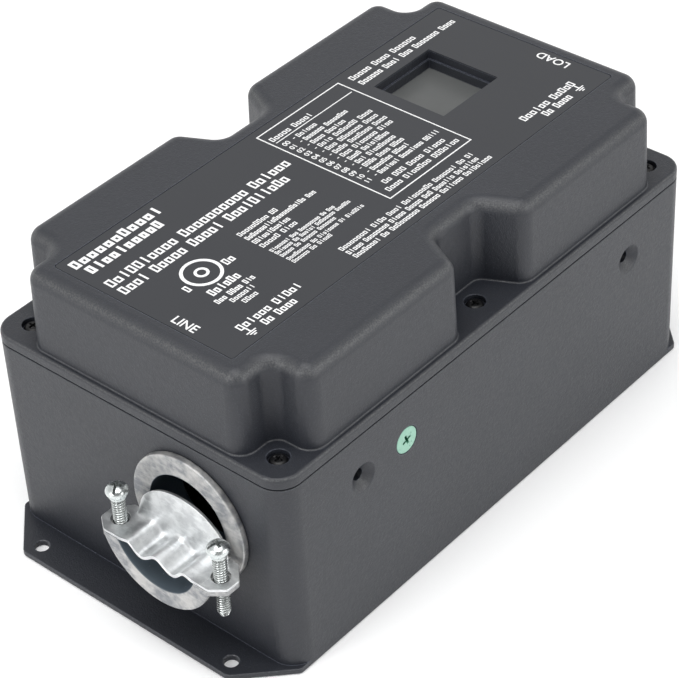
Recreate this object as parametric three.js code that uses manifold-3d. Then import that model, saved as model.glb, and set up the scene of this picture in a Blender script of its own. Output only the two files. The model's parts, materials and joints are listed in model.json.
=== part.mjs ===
// Hard-wired surge protector box for a caravan: a moulded tub with mounting flanges, a stepped lid,
// a two-screw cable clamp at each end, and the switching and sensing parts inside.
// Millimetres. +Z is up out of the lid, +X runs from the line end to the load end, and the origin is
// the middle of the mounting face. The load end is the line end turned half a turn about +Z.
import * as THREE from 'three';
import { mergeVertices } from 'three/addons/utils/BufferGeometryUtils.js';
import Module from 'manifold-3d';

const wasm = await Module();
wasm.setup();

// ---- driving dimensions ----
const BOX_L = 268.5;          // tub and lid length, without the mounting flanges
const BOX_W = 161;            // tub and lid width
const SEAM_Z = 97;            // top of the tub wall
const CORNER_R = 11;          // vertical corners of tub and lid flange
const WALL = 3;
const FLOOR = 3;
const TOP_Z = 141.5;          // flat top of the lid

const FLANGE_OUT = 152.4;     // mounting flange, from the middle to its outer edge
const FLANGE_T = 2.7;
const FLANGE_ROOT_Y = 77.5;   // half width at the tub wall, with 45 degree sides from there
const FLANGE_TIP_R = 4;
const FLANGE_HOLE = { x: 145.3, y: 55.1, r: 3.2 };

const GASKET_Z0 = 97.05;
const GASKET_T = 0.6;
const LID_Z0 = 97.7;          // underside of the lid flange
const DECK_Z = 102.7;         // lid flange's upper face, floor of the screw notches
const LID_SCREW_X = 121.4;
const LID_SCREW_Y = 67.7;

const PLATEAU = { a: 131.7, b: 77.9, notchX: 112.9, notchY: 58.7, mouth: 22, floor: 12.5 };
const PLATEAU_R = { convex: 8, concave: 6 };
const DRAFT = 0.85;           // how far the plateau walls lean in
const EDGE_R = 6.5;           // rounding round the plateau top

const LABEL = { l: 244.2, w: 96.8, r: 1.5, depth: 0.6 };
const DISPLAY = { x: 73, y: 10.3, l: 37.6, w: 38.6, ledge: 0.9, ledgeZ: 137, paneZ: 132.6 };

const CLAMP_Y = -30.4;        // line-end cable opening; the load end has it at +30.4
const CLAMP_Z = 61.1;
const RING_R = 30;            // outer radius of the connector's two ring flanges
const THROAT_R = 20.6;
const NIPPLE_R = 24;
const RING_FACE_X = -137.5;
const LIP_X = -157.6;         // outer face of the trough's lip
const EAR_TOP = 56.2;
const EAR_T = 2.2;
const EAR_REACH = 34.7;
const CLAMP_SCREW_X = -148.6;
const CLAMP_SCREW_DY = 27.5;
const STRAP_T = 1.3;
const STRAP_GAP = 0.1;

const CONTACTOR_X = -40;      // middle of the contactor
const POLE_Y = 26;            // its two poles stand this far either side of the middle
const ARMATURE_GAP = 3;       // contact gap with the coil off

const ROUND = { small: 10, medium: 16, large: 32 };

// ---- geometry helpers ----
function signedVolume(position, index) {
  const a = new THREE.Vector3();
  const b = new THREE.Vector3();
  const c = new THREE.Vector3();
  let volume = 0;
  for (let i = 0; i < index.count; i += 3) {
    a.fromBufferAttribute(position, index.getX(i));
    b.fromBufferAttribute(position, index.getX(i + 1));
    c.fromBufferAttribute(position, index.getX(i + 2));
    volume += a.dot(b.cross(c)) / 6;
  }
  return volume;
}

function toSolid(geometry) {
  const bare = geometry.clone();
  bare.deleteAttribute('normal');
  bare.deleteAttribute('uv');
  const merged = mergeVertices(bare, 1e-4);
  const triVerts = Uint32Array.from(merged.index.array);
  if (signedVolume(merged.attributes.position, merged.index) < 0) {
    for (let i = 0; i < triVerts.length; i += 3) {
      [triVerts[i], triVerts[i + 1]] = [triVerts[i + 1], triVerts[i]];
    }
  }
  const vertProperties = Float32Array.from(merged.attributes.position.array);
  return new wasm.Manifold(new wasm.Mesh({ numProp: 3, vertProperties, triVerts }));
}

function toGeometry(solid) {
  const mesh = solid.getMesh();
  const geometry = new THREE.BufferGeometry();
  geometry.setAttribute('position', new THREE.BufferAttribute(Float32Array.from(mesh.vertProperties), 3));
  geometry.setIndex(new THREE.BufferAttribute(Uint32Array.from(mesh.triVerts), 1));
  geometry.computeVertexNormals();
  return geometry;
}

const joined = (...solids) => solids.reduce((sum, solid) => sum.add(solid));
const cut = (body, ...tools) => tools.reduce((rest, tool) => rest.subtract(tool), body);

// Turns a shape made about the Y axis so that Y becomes the named axis.
function stand(geometry, axis) {
  if (axis === 'z') geometry.rotateX(Math.PI / 2);
  if (axis === 'x') geometry.rotateZ(-Math.PI / 2);
  return geometry;
}

// A block given by its ranges along each axis.
function block([x0, x1], [y0, y1], [z0, z1]) {
  const geometry = new THREE.BoxGeometry(x1 - x0, y1 - y0, z1 - z0);
  geometry.translate((x0 + x1) / 2, (y0 + y1) / 2, (z0 + z1) / 2);
  return toSolid(geometry);
}

// A solid of revolution: profile is [radius, distance along the axis] from one end to the other.
function turned(profile, axis, [x, y, z], segments = ROUND.medium) {
  const points = profile.map(([r, t]) => new THREE.Vector2(r, t));
  const geometry = stand(new THREE.LatheGeometry(points, segments), axis);
  geometry.translate(x, y, z);
  return toSolid(geometry);
}

function rod(r, [t0, t1], axis, at, segments) {
  return turned([[0, t0], [r, t0], [r, t1], [0, t1]], axis, at, segments);
}

// A flat plate: outline points in XY, pushed up from z0 to z1.
function plate(outline, [z0, z1]) {
  const shape = new THREE.Shape(outline.map(([x, y]) => new THREE.Vector2(x, y)));
  const geometry = new THREE.ExtrudeGeometry(shape, { depth: z1 - z0, bevelEnabled: false });
  geometry.translate(0, 0, z0);
  return toSolid(geometry);
}

// A closed skin through outlines of equal point count, each at its own height.
function loft(layers) {
  const count = layers[0].outline.length;
  const positions = layers.flatMap(({ outline, z }) => outline.flatMap(([x, y]) => [x, y, z]));
  const index = [];
  for (let layer = 0; layer + 1 < layers.length; layer += 1) {
    for (let i = 0; i < count; i += 1) {
      const a = layer * count + i;
      const b = layer * count + (i + 1) % count;
      index.push(a, b, b + count, a, b + count, a + count);
    }
  }
  const cap = (layer, flip) => {
    const contour = layers[layer].outline.map(([x, y]) => new THREE.Vector2(x, y));
    for (const face of THREE.ShapeUtils.triangulateShape(contour, [])) {
      const [a, b, c] = face.map((i) => i + layer * count);
      index.push(...(flip ? [a, c, b] : [a, b, c]));
    }
  };
  cap(0, true);
  cap(layers.length - 1, false);
  const geometry = new THREE.BufferGeometry();
  geometry.setAttribute('position', new THREE.Float32BufferAttribute(positions, 3));
  geometry.setIndex(index);
  return toSolid(geometry);
}

// The arcs of a polygon's rounded corners. Corners are [x, y, radius], counter-clockwise.
function cornerArcs(corners) {
  return corners.map(([x, y, r], i) => {
    const here = new THREE.Vector2(x, y);
    const before = corners[(i + corners.length - 1) % corners.length];
    const after = corners[(i + 1) % corners.length];
    const back = new THREE.Vector2(before[0] - x, before[1] - y).normalize();
    const ahead = new THREE.Vector2(after[0] - x, after[1] - y).normalize();
    const half = Math.acos(back.dot(ahead)) / 2;
    const convex = back.cross(ahead) < 0;
    const centre = here.add(back.clone().add(ahead).normalize().multiplyScalar(r / Math.sin(half)));
    const normal = (edge, turn) => Math.atan2(-turn * edge.x, turn * edge.y);
    const side = convex ? 1 : -1;
    return { centre, r, convex, from: normal(back, -side), to: normal(ahead, side) };
  });
}

// The outline with its rounded corners, moved inwards by inset.
function outlineOf(arcs, inset, steps) {
  return arcs.flatMap(({ centre, r, convex, from, to }) => {
    const radius = convex ? r - inset : r + inset;
    const sweep = Math.atan2(Math.sin(to - from), Math.cos(to - from));
    return Array.from({ length: steps + 1 }, (_, k) => {
      const angle = from + sweep * k / steps;
      return [centre.x + radius * Math.cos(angle), centre.y + radius * Math.sin(angle)];
    });
  });
}

function roundedRectangle(length, width, r, inset = 0, steps = 4) {
  const [x, y] = [length / 2, width / 2];
  const corners = [[x, -y, r], [x, y, r], [-x, y, r], [-x, -y, r]];
  return outlineOf(cornerArcs(corners), inset, steps);
}

// The same solid at the load end: half a turn about +Z.
const atLoadEnd = (solid) => solid.rotate([0, 0, 180]);

// ---- the housing ----
const LID_SCREW_SPOTS = [
  [-LID_SCREW_X, -LID_SCREW_Y], [0, -LID_SCREW_Y], [LID_SCREW_X, -LID_SCREW_Y],
  [-LID_SCREW_X, LID_SCREW_Y], [0, LID_SCREW_Y], [LID_SCREW_X, LID_SCREW_Y],
];

// One mounting flange, at the line end. Its 45 degree sides run back under the tub's round corners.
function mountingFlange() {
  const [wallX, sideY, tipY] = [-BOX_L / 2, BOX_W / 2, FLANGE_ROOT_Y - (FLANGE_OUT - BOX_L / 2)];
  const cornerX = wallX + sideY - FLANGE_ROOT_Y;
  const corners = [
    [wallX + CORNER_R, -sideY, 0.5], [wallX + CORNER_R, sideY, 0.5], [cornerX, sideY, 3],
    [-FLANGE_OUT, tipY, FLANGE_TIP_R], [-FLANGE_OUT, -tipY, FLANGE_TIP_R], [cornerX, -sideY, 3],
  ];
  const holes = [-1, 1].map((side) => rod(FLANGE_HOLE.r, [-1, FLANGE_T + 1], 'z',
    [-FLANGE_HOLE.x, side * FLANGE_HOLE.y, 0], ROUND.medium));
  return cut(plate(outlineOf(cornerArcs(corners), 0, 3), [0, FLANGE_T]), ...holes);
}

const SCREW_POST_R = 6;
const SCREW_PILOT_R = 2.4;
const SCREW_PILOT_Z = 78;

// A post that a lid screw bites into, webbed to the nearest wall.
function screwPost([x, y]) {
  const wallY = Math.sign(y) * (BOX_W / 2 - WALL / 2);
  const reach = [Math.min(y, wallY), Math.max(y, wallY)];
  const web = block([x - WALL / 2, x + WALL / 2], reach, [FLOOR - 1, SEAM_Z]);
  return joined(rod(SCREW_POST_R, [FLOOR - 1, SEAM_Z], 'z', [x, y, 0], ROUND.small), web);
}

const SIDE_HOLE = { z: 75.1, mouthR: 6.8, r: 2.8, coneDepth: 3.2, bossR: 9, bossT: 4 };
const SIDE_HOLES_X = [-87.8, 91.5];
const GROUND_SCREW = { x: -60.7, z: 76, headR: 6.1, headT: 2.4, r: 2.3, clearR: 2.6, length: 12 };

// Material behind the two countersunk side holes, on the -Y wall.
function sideBosses() {
  const wallFace = -BOX_W / 2 + WALL;
  return joined(...SIDE_HOLES_X.map((x) => rod(SIDE_HOLE.bossR, [-1, SIDE_HOLE.bossT], 'y',
    [x, wallFace, SIDE_HOLE.z], ROUND.medium)));
}

// Everything bored through the -Y wall.
function sideBores() {
  const face = -BOX_W / 2;
  const far = WALL + SIDE_HOLE.bossT + 1;
  const { mouthR, r, coneDepth } = SIDE_HOLE;
  const cone = [[0, -1], [mouthR, -1], [mouthR, 0], [r, coneDepth], [r, far], [0, far]];
  const { x, z, headR, headT, clearR } = GROUND_SCREW;
  const gap = 0.3;
  const seat = [
    [0, -1], [headR + gap, -1], [headR + gap, 0.5], [clearR, headT + gap], [clearR, far], [0, far],
  ];
  return joined(
    ...SIDE_HOLES_X.map((holeX) => turned(cone, 'y', [holeX, face, SIDE_HOLE.z], ROUND.medium)),
    turned(seat, 'y', [x, face, z], ROUND.medium),
  );
}

const PIN_R = 1.5;
const PIN_BORE_R = 1.9;
const BOARD = { x: [20, 112], y: [-60, 58], z: 13, t: 1.6, postR: 3.5, inset: 6 };

// Where the main board's four posts stand.
function boardSpots() {
  return BOARD.x.flatMap((x, i) => BOARD.y.map((y, j) => [
    x + (i ? -BOARD.inset : BOARD.inset), y + (j ? -BOARD.inset : BOARD.inset)]));
}

// A moulded post with a thinner pin on it, which is melted over to hold what stands on the post.
function stakedPost([x, y], [low, seat, tip], r) {
  return turned([[0, low], [r, low], [r, seat], [PIN_R, seat], [PIN_R, tip], [0, tip]], 'z', [x, y, 0], 8);
}

function baseTub() {
  const shell = plate(roundedRectangle(BOX_L, BOX_W, CORNER_R), [0, SEAM_Z]);
  const cavity = plate(roundedRectangle(BOX_L, BOX_W, CORNER_R, WALL), [FLOOR, SEAM_Z + 1]);
  const cableHole = rod(NIPPLE_R + 0.3, [-WALL - 1, WALL + 1], 'x',
    [-BOX_L / 2, CLAMP_Y, CLAMP_Z], ROUND.large);
  const pilots = LID_SCREW_SPOTS.map(([x, y]) => rod(SCREW_PILOT_R, [SCREW_PILOT_Z, SEAM_Z + 1], 'z',
    [x, y, 0], ROUND.small));
  const boardPost = [FLOOR - 1, BOARD.z - 0.05, BOARD.z + BOARD.t + 1];
  const platePost = [FLOOR - 1, FLOOR, FLOOR + PLATE.t + 1.4];
  const whole = joined(
    cut(shell, cavity), mountingFlange(), atLoadEnd(mountingFlange()), ...LID_SCREW_SPOTS.map(screwPost),
    sideBosses(), atLoadEnd(sideBosses()),
    ...boardSpots().map((spot) => stakedPost(spot, boardPost, BOARD.postR)),
    ...plateSpots().map((spot) => stakedPost(spot, platePost, PIN_R + 0.2)),
  );
  return cut(whole, cableHole, atLoadEnd(cableHole), sideBores(), atLoadEnd(sideBores()), ...pilots);
}

function lidGasket() {
  const outer = plate(roundedRectangle(BOX_L, BOX_W, CORNER_R, 0.7), [GASKET_Z0, GASKET_Z0 + GASKET_T]);
  return cut(outer, plate(roundedRectangle(BOX_L, BOX_W, CORNER_R, WALL - 0.3), [SEAM_Z - 1, LID_Z0 + 1]));
}

// The plateau's outline, counter-clockwise: one quadrant's corners, mirrored round the other three.
function plateauArcs() {
  const { a, b, notchX, notchY, mouth, floor } = PLATEAU;
  const { convex, concave } = PLATEAU_R;
  const quadrant = [[a, notchY, convex], [notchX, notchY, concave], [notchX, b, convex],
    [mouth, b, convex], [floor, notchY, concave]];
  const back = [...quadrant].reverse();
  return cornerArcs([
    ...quadrant,
    ...back.map(([x, y, r]) => [-x, y, r]),
    ...quadrant.map(([x, y, r]) => [-x, -y, r]),
    ...back.map(([x, y, r]) => [x, -y, r]),
  ]);
}

function plateauOuter() {
  const arcs = plateauArcs();
  const steps = 3;
  const layers = [{ z: LID_Z0 + 1, inset: 0 }];
  for (let k = 0; k <= steps; k += 1) {
    const angle = k / steps * Math.PI / 2;
    layers.push({ z: TOP_Z - EDGE_R * (1 - Math.sin(angle)), inset: DRAFT + EDGE_R * (1 - Math.cos(angle)) });
  }
  return loft(layers.map(({ z, inset }) => ({ z, outline: outlineOf(arcs, inset, 2) })));
}

function plateauHollow() {
  const arcs = plateauArcs();
  const roof = TOP_Z - WALL - 0.2;
  const roofInset = PLATEAU_R.convex - 0.7;
  const layers = [
    { z: LID_Z0 - 1, inset: WALL }, { z: roof - 4, inset: WALL + DRAFT }, { z: roof, inset: roofInset },
  ];
  return loft(layers.map(({ z, inset }) => ({ z, outline: outlineOf(arcs, inset, 2) })));
}

// The lid's flange plate, its upper edge rounded over.
function lidDeck() {
  const steps = [[LID_Z0, 0], [DECK_Z - 1.6, 0], [DECK_Z - 0.5, 0.5], [DECK_Z, 1.6]];
  return loft(steps.map(([z, inset]) => ({ z, outline: roundedRectangle(BOX_L, BOX_W, CORNER_R, inset) })));
}

const LID_SCREW = { recessR: 4.6, recess: 2.6, clearR: 2.4, headR: 3.9, headT: 1.9, r: 1.95, length: 20 };

function lidScrewBore([x, y]) {
  const { recessR, recess, clearR } = LID_SCREW;
  return turned([[0, LID_Z0 - 1], [clearR, LID_Z0 - 1], [clearR, DECK_Z - recess], [recessR, DECK_Z - recess],
    [recessR, DECK_Z + 1], [0, DECK_Z + 1]], 'z', [x, y, 0], ROUND.small);
}

const PANE_MARGIN = 2.2;
const COLLAR_T = 3;

// The frame round the display opening: a ledge inside, a collar down to the window pane.
function displayCollar() {
  const { x, y, l, w, ledge, paneZ } = DISPLAY;
  const half = [l / 2 - ledge + COLLAR_T, w / 2 - ledge + COLLAR_T];
  return block([x - half[0], x + half[0]], [y - half[1], y + half[1]], [paneZ, TOP_Z - WALL]);
}

function displayOpening() {
  const { x, y, l, w, ledge, ledgeZ, paneZ } = DISPLAY;
  const wide = block([x - l / 2, x + l / 2], [y - w / 2, y + w / 2], [ledgeZ, TOP_Z + 1]);
  const [halfL, halfW] = [l / 2 - ledge, w / 2 - ledge];
  const narrow = block([x - halfL, x + halfL], [y - halfW, y + halfW], [paneZ - 1, ledgeZ + 1]);
  return joined(wide, narrow);
}

const DISPLAY_BOARD = { l: 62, w: 56, z: 119, t: 1.6 };

function displayBoardSpots() {
  const inset = 4;
  return [-1, 1].flatMap((i) => [-1, 1].map((j) => [DISPLAY.x + i * (DISPLAY_BOARD.l / 2 - inset),
    DISPLAY.y + j * (DISPLAY_BOARD.w / 2 - inset)]));
}

// The same kind of post hanging from the lid, its pin down through the display board.
function hangingPost([x, y]) {
  const seat = DISPLAY_BOARD.z + DISPLAY_BOARD.t + 0.05;
  return turned([[0, DISPLAY_BOARD.z - 1], [PIN_R, DISPLAY_BOARD.z - 1], [PIN_R, seat], [2.5, seat],
    [2.5, TOP_Z - WALL], [0, TOP_Z - WALL]], 'z', [x, y, 0], 8);
}

function lid() {
  const bay = plate(roundedRectangle(LABEL.l, LABEL.w, LABEL.r, 0, 2), [TOP_Z - LABEL.depth, TOP_Z + 1]);
  const shell = cut(joined(lidDeck(), plateauOuter()), plateauHollow());
  const whole = joined(shell, displayCollar(), ...displayBoardSpots().map(hangingPost));
  return cut(whole, bay, displayOpening(), ...LID_SCREW_SPOTS.map(lidScrewBore));
}

// The printed film set into the lid's top, level with it.
function labelOverlay() {
  const film = plate(roundedRectangle(LABEL.l, LABEL.w, LABEL.r, 0.3, 2),
    [TOP_Z - LABEL.depth + 0.03, TOP_Z - 0.05]);
  const { x, y, l, w } = DISPLAY;
  return cut(film, block([x - l / 2, x + l / 2], [y - w / 2, y + w / 2], [TOP_Z - 2, TOP_Z + 1]));
}

function displayWindow() {
  const { x, y, l, w, ledge, paneZ } = DISPLAY;
  const half = [l / 2 - ledge + PANE_MARGIN, w / 2 - ledge + PANE_MARGIN];
  return block([x - half[0], x + half[0]], [y - half[1], y + half[1]], [paneZ - 2.05, paneZ - 0.05]);
}

// A cross recess, as a cutter whose top is at t = 0 along the axis it is stood on.
function crossRecess(size, depth, axis, at) {
  const bars = [[size, size * 0.22], [size * 0.22, size]].map(([w, d]) => {
    const geometry = stand(new THREE.BoxGeometry(w, depth * 2, d), axis);
    geometry.translate(...at);
    return toSolid(geometry);
  });
  return joined(...bars);
}

function lidScrew([x, y]) {
  const { recess, headR, headT, r, length } = LID_SCREW;
  const seat = DECK_Z - recess + 0.05;
  const tip = seat - length;
  const profile = [
    [0, tip], [r * 0.4, tip], [r, tip + 3], [r, seat], [headR, seat], [headR, seat + headT * 0.5],
    [headR * 0.7, seat + headT], [0, seat + headT],
  ];
  const body = turned(profile, 'z', [x, y, 0], ROUND.small);
  return cut(body, crossRecess(headR * 1.1, 1.2, 'z', [x, y, seat + headT]));
}

// ---- the cable clamp, at the line end ----
const CLAMP_CENTRE = [0, CLAMP_Y, CLAMP_Z];
const EAR = { frontX: LIP_X + 0.2, backX: -139.2, frontY: 28.6, backY: 28.4, tip: [LIP_X + 5, -145.8] };
const EAR_BORE_R = 3.3;
const STRAP_BORE_R = 4.1;

// An ear's outline seen from above, out from the clamp's middle on side +1 or -1.
function earOutline(side, inner) {
  const y = (d) => CLAMP_Y + side * d;
  const outline = [
    [EAR.frontX, y(inner)], [EAR.frontX, y(EAR.frontY)], [EAR.tip[0], y(EAR_REACH)],
    [EAR.tip[1], y(EAR_REACH)], [EAR.backX, y(EAR.backY)], [EAR.backX, y(inner)],
  ];
  return side > 0 ? outline.reverse() : outline;
}

const screwAxis = (side) => [CLAMP_SCREW_X, CLAMP_Y + side * CLAMP_SCREW_DY, 0];

function connectorBody() {
  const lipT = 2.6;
  const troughR = 23.2;
  const backX = -BOX_L / 2 - 0.05;
  const endX = -119;
  const inner = THROAT_R + 1.4;
  const profile = [
    [inner, LIP_X], [RING_R, LIP_X], [RING_R, LIP_X + lipT], [troughR, LIP_X + lipT], [troughR, RING_FACE_X],
    [RING_R, RING_FACE_X], [RING_R, backX], [NIPPLE_R, backX], [NIPPLE_R, endX], [THROAT_R, endX],
    [THROAT_R, RING_FACE_X], [inner, LIP_X],
  ];
  const spool = turned(profile, 'x', CLAMP_CENTRE, ROUND.large);
  const reach = RING_R + 1;
  const upperHalf = block([LIP_X - 1, RING_FACE_X], [CLAMP_Y - reach, CLAMP_Y + reach],
    [EAR_TOP, CLAMP_Z + reach]);
  const ears = [-1, 1].map((side) => plate(earOutline(side, THROAT_R + 2), [EAR_TOP - EAR_T, EAR_TOP]));
  const bores = [-1, 1].map((side) => rod(EAR_BORE_R, [EAR_TOP - 20, EAR_TOP + 1], 'z',
    screwAxis(side), ROUND.small));
  return cut(joined(cut(spool, upperHalf), ...ears), ...bores);
}

// A thin ring nut with six driving notches, inside the wall.
function connectorLocknut() {
  const [x0, x1] = [-BOX_L / 2 + WALL + 0.1, -BOX_L / 2 + WALL + 3.6];
  const ring = rod(RING_R, [x0, x1], 'x', CLAMP_CENTRE, 24);
  const notches = Array.from({ length: 6 }, (_, k) => {
    const angle = (k + 0.5) * Math.PI / 3;
    const at = [0, CLAMP_Y + RING_R * Math.cos(angle), CLAMP_Z + RING_R * Math.sin(angle)];
    return rod(3.2, [x0 - 1, x1 + 1], 'x', at, 8);
  });
  return cut(ring, rod(NIPPLE_R + 0.3, [x0 - 1, x1 + 1], 'x', CLAMP_CENTRE, ROUND.large), ...notches);
}

// Height of the strap's gripping face above its ears, across the cable: a hump between two valleys.
function stripWave(dy) {
  const knots = [[0, 0.7], [8.5, -3.5], [15.5, 1], [20.5, 0], [RING_R, 0]];
  const d = Math.min(Math.abs(dy), RING_R);
  const next = Math.max(1, knots.findIndex(([at]) => d <= at));
  const [[d0, h0], [d1, h1]] = [knots[next - 1], knots[next]];
  const ease = (1 - Math.cos(Math.PI * (d - d0) / (d1 - d0))) / 2;
  return h0 + (h1 - h0) * ease;
}

const HOOD = { foot: -142.7, edge: -140.5, halfWidth: 24.4, rise: 19.7 };

// A point on the strap's upper face: along runs 0 to 1 over the gripping strip, then 1 to 2 up the hood
// that closes the upper half of the opening.
function strapPoint(along, dy) {
  const strip = Math.min(along, 1);
  const rise = Math.max(along - 1, 0);
  const arch = HOOD.rise * Math.sqrt(Math.max(0, 1 - (dy / HOOD.halfWidth) ** 2));
  const x = LIP_X + 0.3 + strip * (HOOD.foot - LIP_X - 0.3) + rise * (HOOD.edge - HOOD.foot);
  const z = EAR_TOP + STRAP_GAP + STRAP_T + stripWave(dy) * (1 - rise) + arch * rise;
  return new THREE.Vector3(x, CLAMP_Y + dy, z);
}

// The strap's thickness at a point, as the step from its upper face to its lower one.
function strapThickness(along, dy) {
  const step = 0.01;
  const reach = HOOD.halfWidth - 1;
  const near = THREE.MathUtils.clamp(dy, -reach, reach);
  const sides = [Math.max(along, step), Math.min(along, 2 - step)];
  const sum = sides.reduce((total, at) => {
    const across = strapPoint(at, near + step).sub(strapPoint(at, near - step));
    const onwards = strapPoint(Math.min(at + step, 2), near).sub(strapPoint(Math.max(at - step, 0), near));
    return total.add(onwards.cross(across).normalize());
  }, new THREE.Vector3());
  return Math.abs(dy) > reach ? new THREE.Vector3(0, 0, -STRAP_T) : sum.normalize().multiplyScalar(-STRAP_T);
}

// The strap's waved strip and hood: a sheet of even thickness on a grid of points.
function strapSheet() {
  const rows = [0, 0.5, 1, 1.3, 1.7, 2];
  const columns = 24;
  const dys = Array.from({ length: columns + 1 },
    (_, j) => -HOOD.halfWidth * Math.cos(Math.PI * j / columns));
  const grid = rows.flatMap((along) => dys.map((dy) => [along, dy]));
  const upper = grid.map(([along, dy]) => strapPoint(along, dy));
  const lower = grid.map(([along, dy], k) => upper[k].clone().add(strapThickness(along, dy)));
  return sheetSolid(upper.map((p) => p.toArray()), lower.map((p) => p.toArray()), rows.length, dys.length);
}

// A closed solid between two grids of points, rows by columns.
function sheetSolid(upper, lower, rows, columns) {
  const count = rows * columns;
  const index = [];
  const quad = (a, b, c, d) => index.push(a, b, c, a, c, d);
  for (let i = 0; i + 1 < rows; i += 1) {
    for (let j = 0; j + 1 < columns; j += 1) {
      const a = i * columns + j;
      quad(a, a + columns, a + columns + 1, a + 1);
      quad(a + count, a + count + 1, a + count + columns + 1, a + count + columns);
    }
    const [left, right] = [i * columns, i * columns + columns - 1];
    quad(left, left + count, left + columns + count, left + columns);
    quad(right, right + columns, right + columns + count, right + count);
  }
  for (let j = 0; j + 1 < columns; j += 1) {
    const back = (rows - 1) * columns + j;
    quad(j, j + 1, j + 1 + count, j + count);
    quad(back, back + count, back + count + 1, back + 1);
  }
  const geometry = new THREE.BufferGeometry();
  geometry.setAttribute('position', new THREE.Float32BufferAttribute([...upper, ...lower].flat(), 3));
  geometry.setIndex(index);
  return toSolid(geometry);
}

function clampStrap() {
  const z = [EAR_TOP + STRAP_GAP + 0.04, EAR_TOP + STRAP_GAP + STRAP_T - 0.04];
  const ears = [-1, 1].map((side) => plate(earOutline(side, HOOD.halfWidth - 1.5), z));
  const bores = [-1, 1].map((side) => rod(STRAP_BORE_R, [z[0] - 1, z[1] + 1], 'z',
    screwAxis(side), ROUND.medium));
  return cut(joined(strapSheet(), ...ears), ...bores);
}

const CLAMP_SCREW = { r: 2.95, headR: 5.15, headT: 5, underHead: 67.4, tip: 33.7 };

// A round-head machine screw with a slot, standing proud of the strap.
function clampScrew(side) {
  const { r, headR, headT, underHead, tip } = CLAMP_SCREW;
  const profile = [
    [0, tip], [r * 0.6, tip], [r, tip + 4], [r, underHead], [headR * 0.92, underHead],
    [headR, underHead + headT * 0.3], [headR * 0.85, underHead + headT * 0.68],
    [headR * 0.5, underHead + headT * 0.93], [0, underHead + headT],
  ];
  const slot = new THREE.BoxGeometry(headR * 2.4, 1.2, 3.4);
  slot.rotateZ(side * 0.5);
  slot.translate(CLAMP_SCREW_X, CLAMP_Y + side * CLAMP_SCREW_DY, underHead + headT);
  return cut(turned(profile, 'z', screwAxis(side), ROUND.small), toSolid(slot));
}

// ---- grounding, at the line end ----
const LUG = { x: [-69, -45], depth: 11, z: [59, 83], wireZ: 65, wireR: 3.2, screwX: -51, screwR: 2.6 };

function groundScrew() {
  const { x, z, headR, headT, r, length } = GROUND_SCREW;
  const profile = [
    [0, 0.1], [headR, 0.1], [headR, 0.4], [r, headT], [r, length - 1.5], [r * 0.6, length], [0, length],
  ];
  const body = turned(profile, 'y', [x, -BOX_W / 2, z], ROUND.medium);
  return cut(body, crossRecess(headR * 0.95, 1.5, 'y', [x, -BOX_W / 2 + 0.1, z]));
}

function groundLug() {
  const wallFace = -BOX_W / 2 + WALL + 0.05;
  const middleY = wallFace + LUG.depth / 2;
  const body = block(LUG.x, [wallFace, wallFace + LUG.depth], LUG.z);
  const screwBore = rod(GROUND_SCREW.clearR, [-1, LUG.depth + 1], 'y',
    [GROUND_SCREW.x, wallFace, GROUND_SCREW.z], ROUND.medium);
  const wireBore = rod(LUG.wireR, [LUG.x[0] - 1, LUG.x[1] + 1], 'x',
    [0, middleY, LUG.wireZ], ROUND.small);
  const clampBore = rod(LUG.screwR, [LUG.wireZ, LUG.z[1] + 1], 'z', [LUG.screwX, middleY, 0], ROUND.small);
  return cut(body, screwBore, wireBore, clampBore);
}

function panScrew([x, y, seat], { r, headR, headT, length }) {
  const top = seat + headT;
  const profile = [
    [0, seat - length], [r, seat - length], [r, seat], [headR, seat], [headR, seat + headT * 0.5],
    [headR * 0.7, top], [0, top],
  ];
  const slot = block([x - headR * 1.2, x + headR * 1.2], [y - 0.5, y + 0.5], [top - 1, top + 1]);
  return cut(turned(profile, 'z', [x, y, 0], ROUND.small), slot);
}

function lugScrew() {
  const middleY = -BOX_W / 2 + WALL + 0.05 + LUG.depth / 2;
  return panScrew([LUG.screwX, middleY, LUG.z[1] + 0.05], { r: 2.3, headR: 4.2, headT: 2.4, length: 15 });
}

// ---- the contactor ----
const HOUSING = { l: 72, w: 84, z: [5.1, 42], wall: 4, towerL: 18, towerZ: 56, screwX: 31 };
const COIL = { r: 14.5, boreR: 6.2, flangeR: 16.5, z: [8.2, 40] };
const TERMINAL = { l: 28, w: 14, t: 2.4, padX: 4, padR: 3.2, padT: 1.4 };
const BRIDGE_Z = HOUSING.towerZ + 0.05 + TERMINAL.t + TERMINAL.padT + ARMATURE_GAP;
const CARRIER_Z = BRIDGE_Z + 2;

const PLATE = { l: 88, w: 60, r: 4, t: 2, pinInset: 4 };

// The two floor pins that hold the contactor's plate.
function plateSpots() {
  return [-1, 1].map((end) => [CONTACTOR_X + end * (PLATE.l / 2 - PLATE.pinInset), 0]);
}

function contactorPlate() {
  const low = FLOOR + 0.05;
  const sheet = plate(roundedRectangle(PLATE.l, PLATE.w, PLATE.r, 0, 2), [low, low + PLATE.t]);
  const bores = plateSpots().map(([x, y]) => rod(PIN_BORE_R, [0, low + PLATE.t + 1], 'z', [x, y, 0], 8));
  return cut(sheet.translate([CONTACTOR_X, 0, 0]), ...bores);
}

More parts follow.
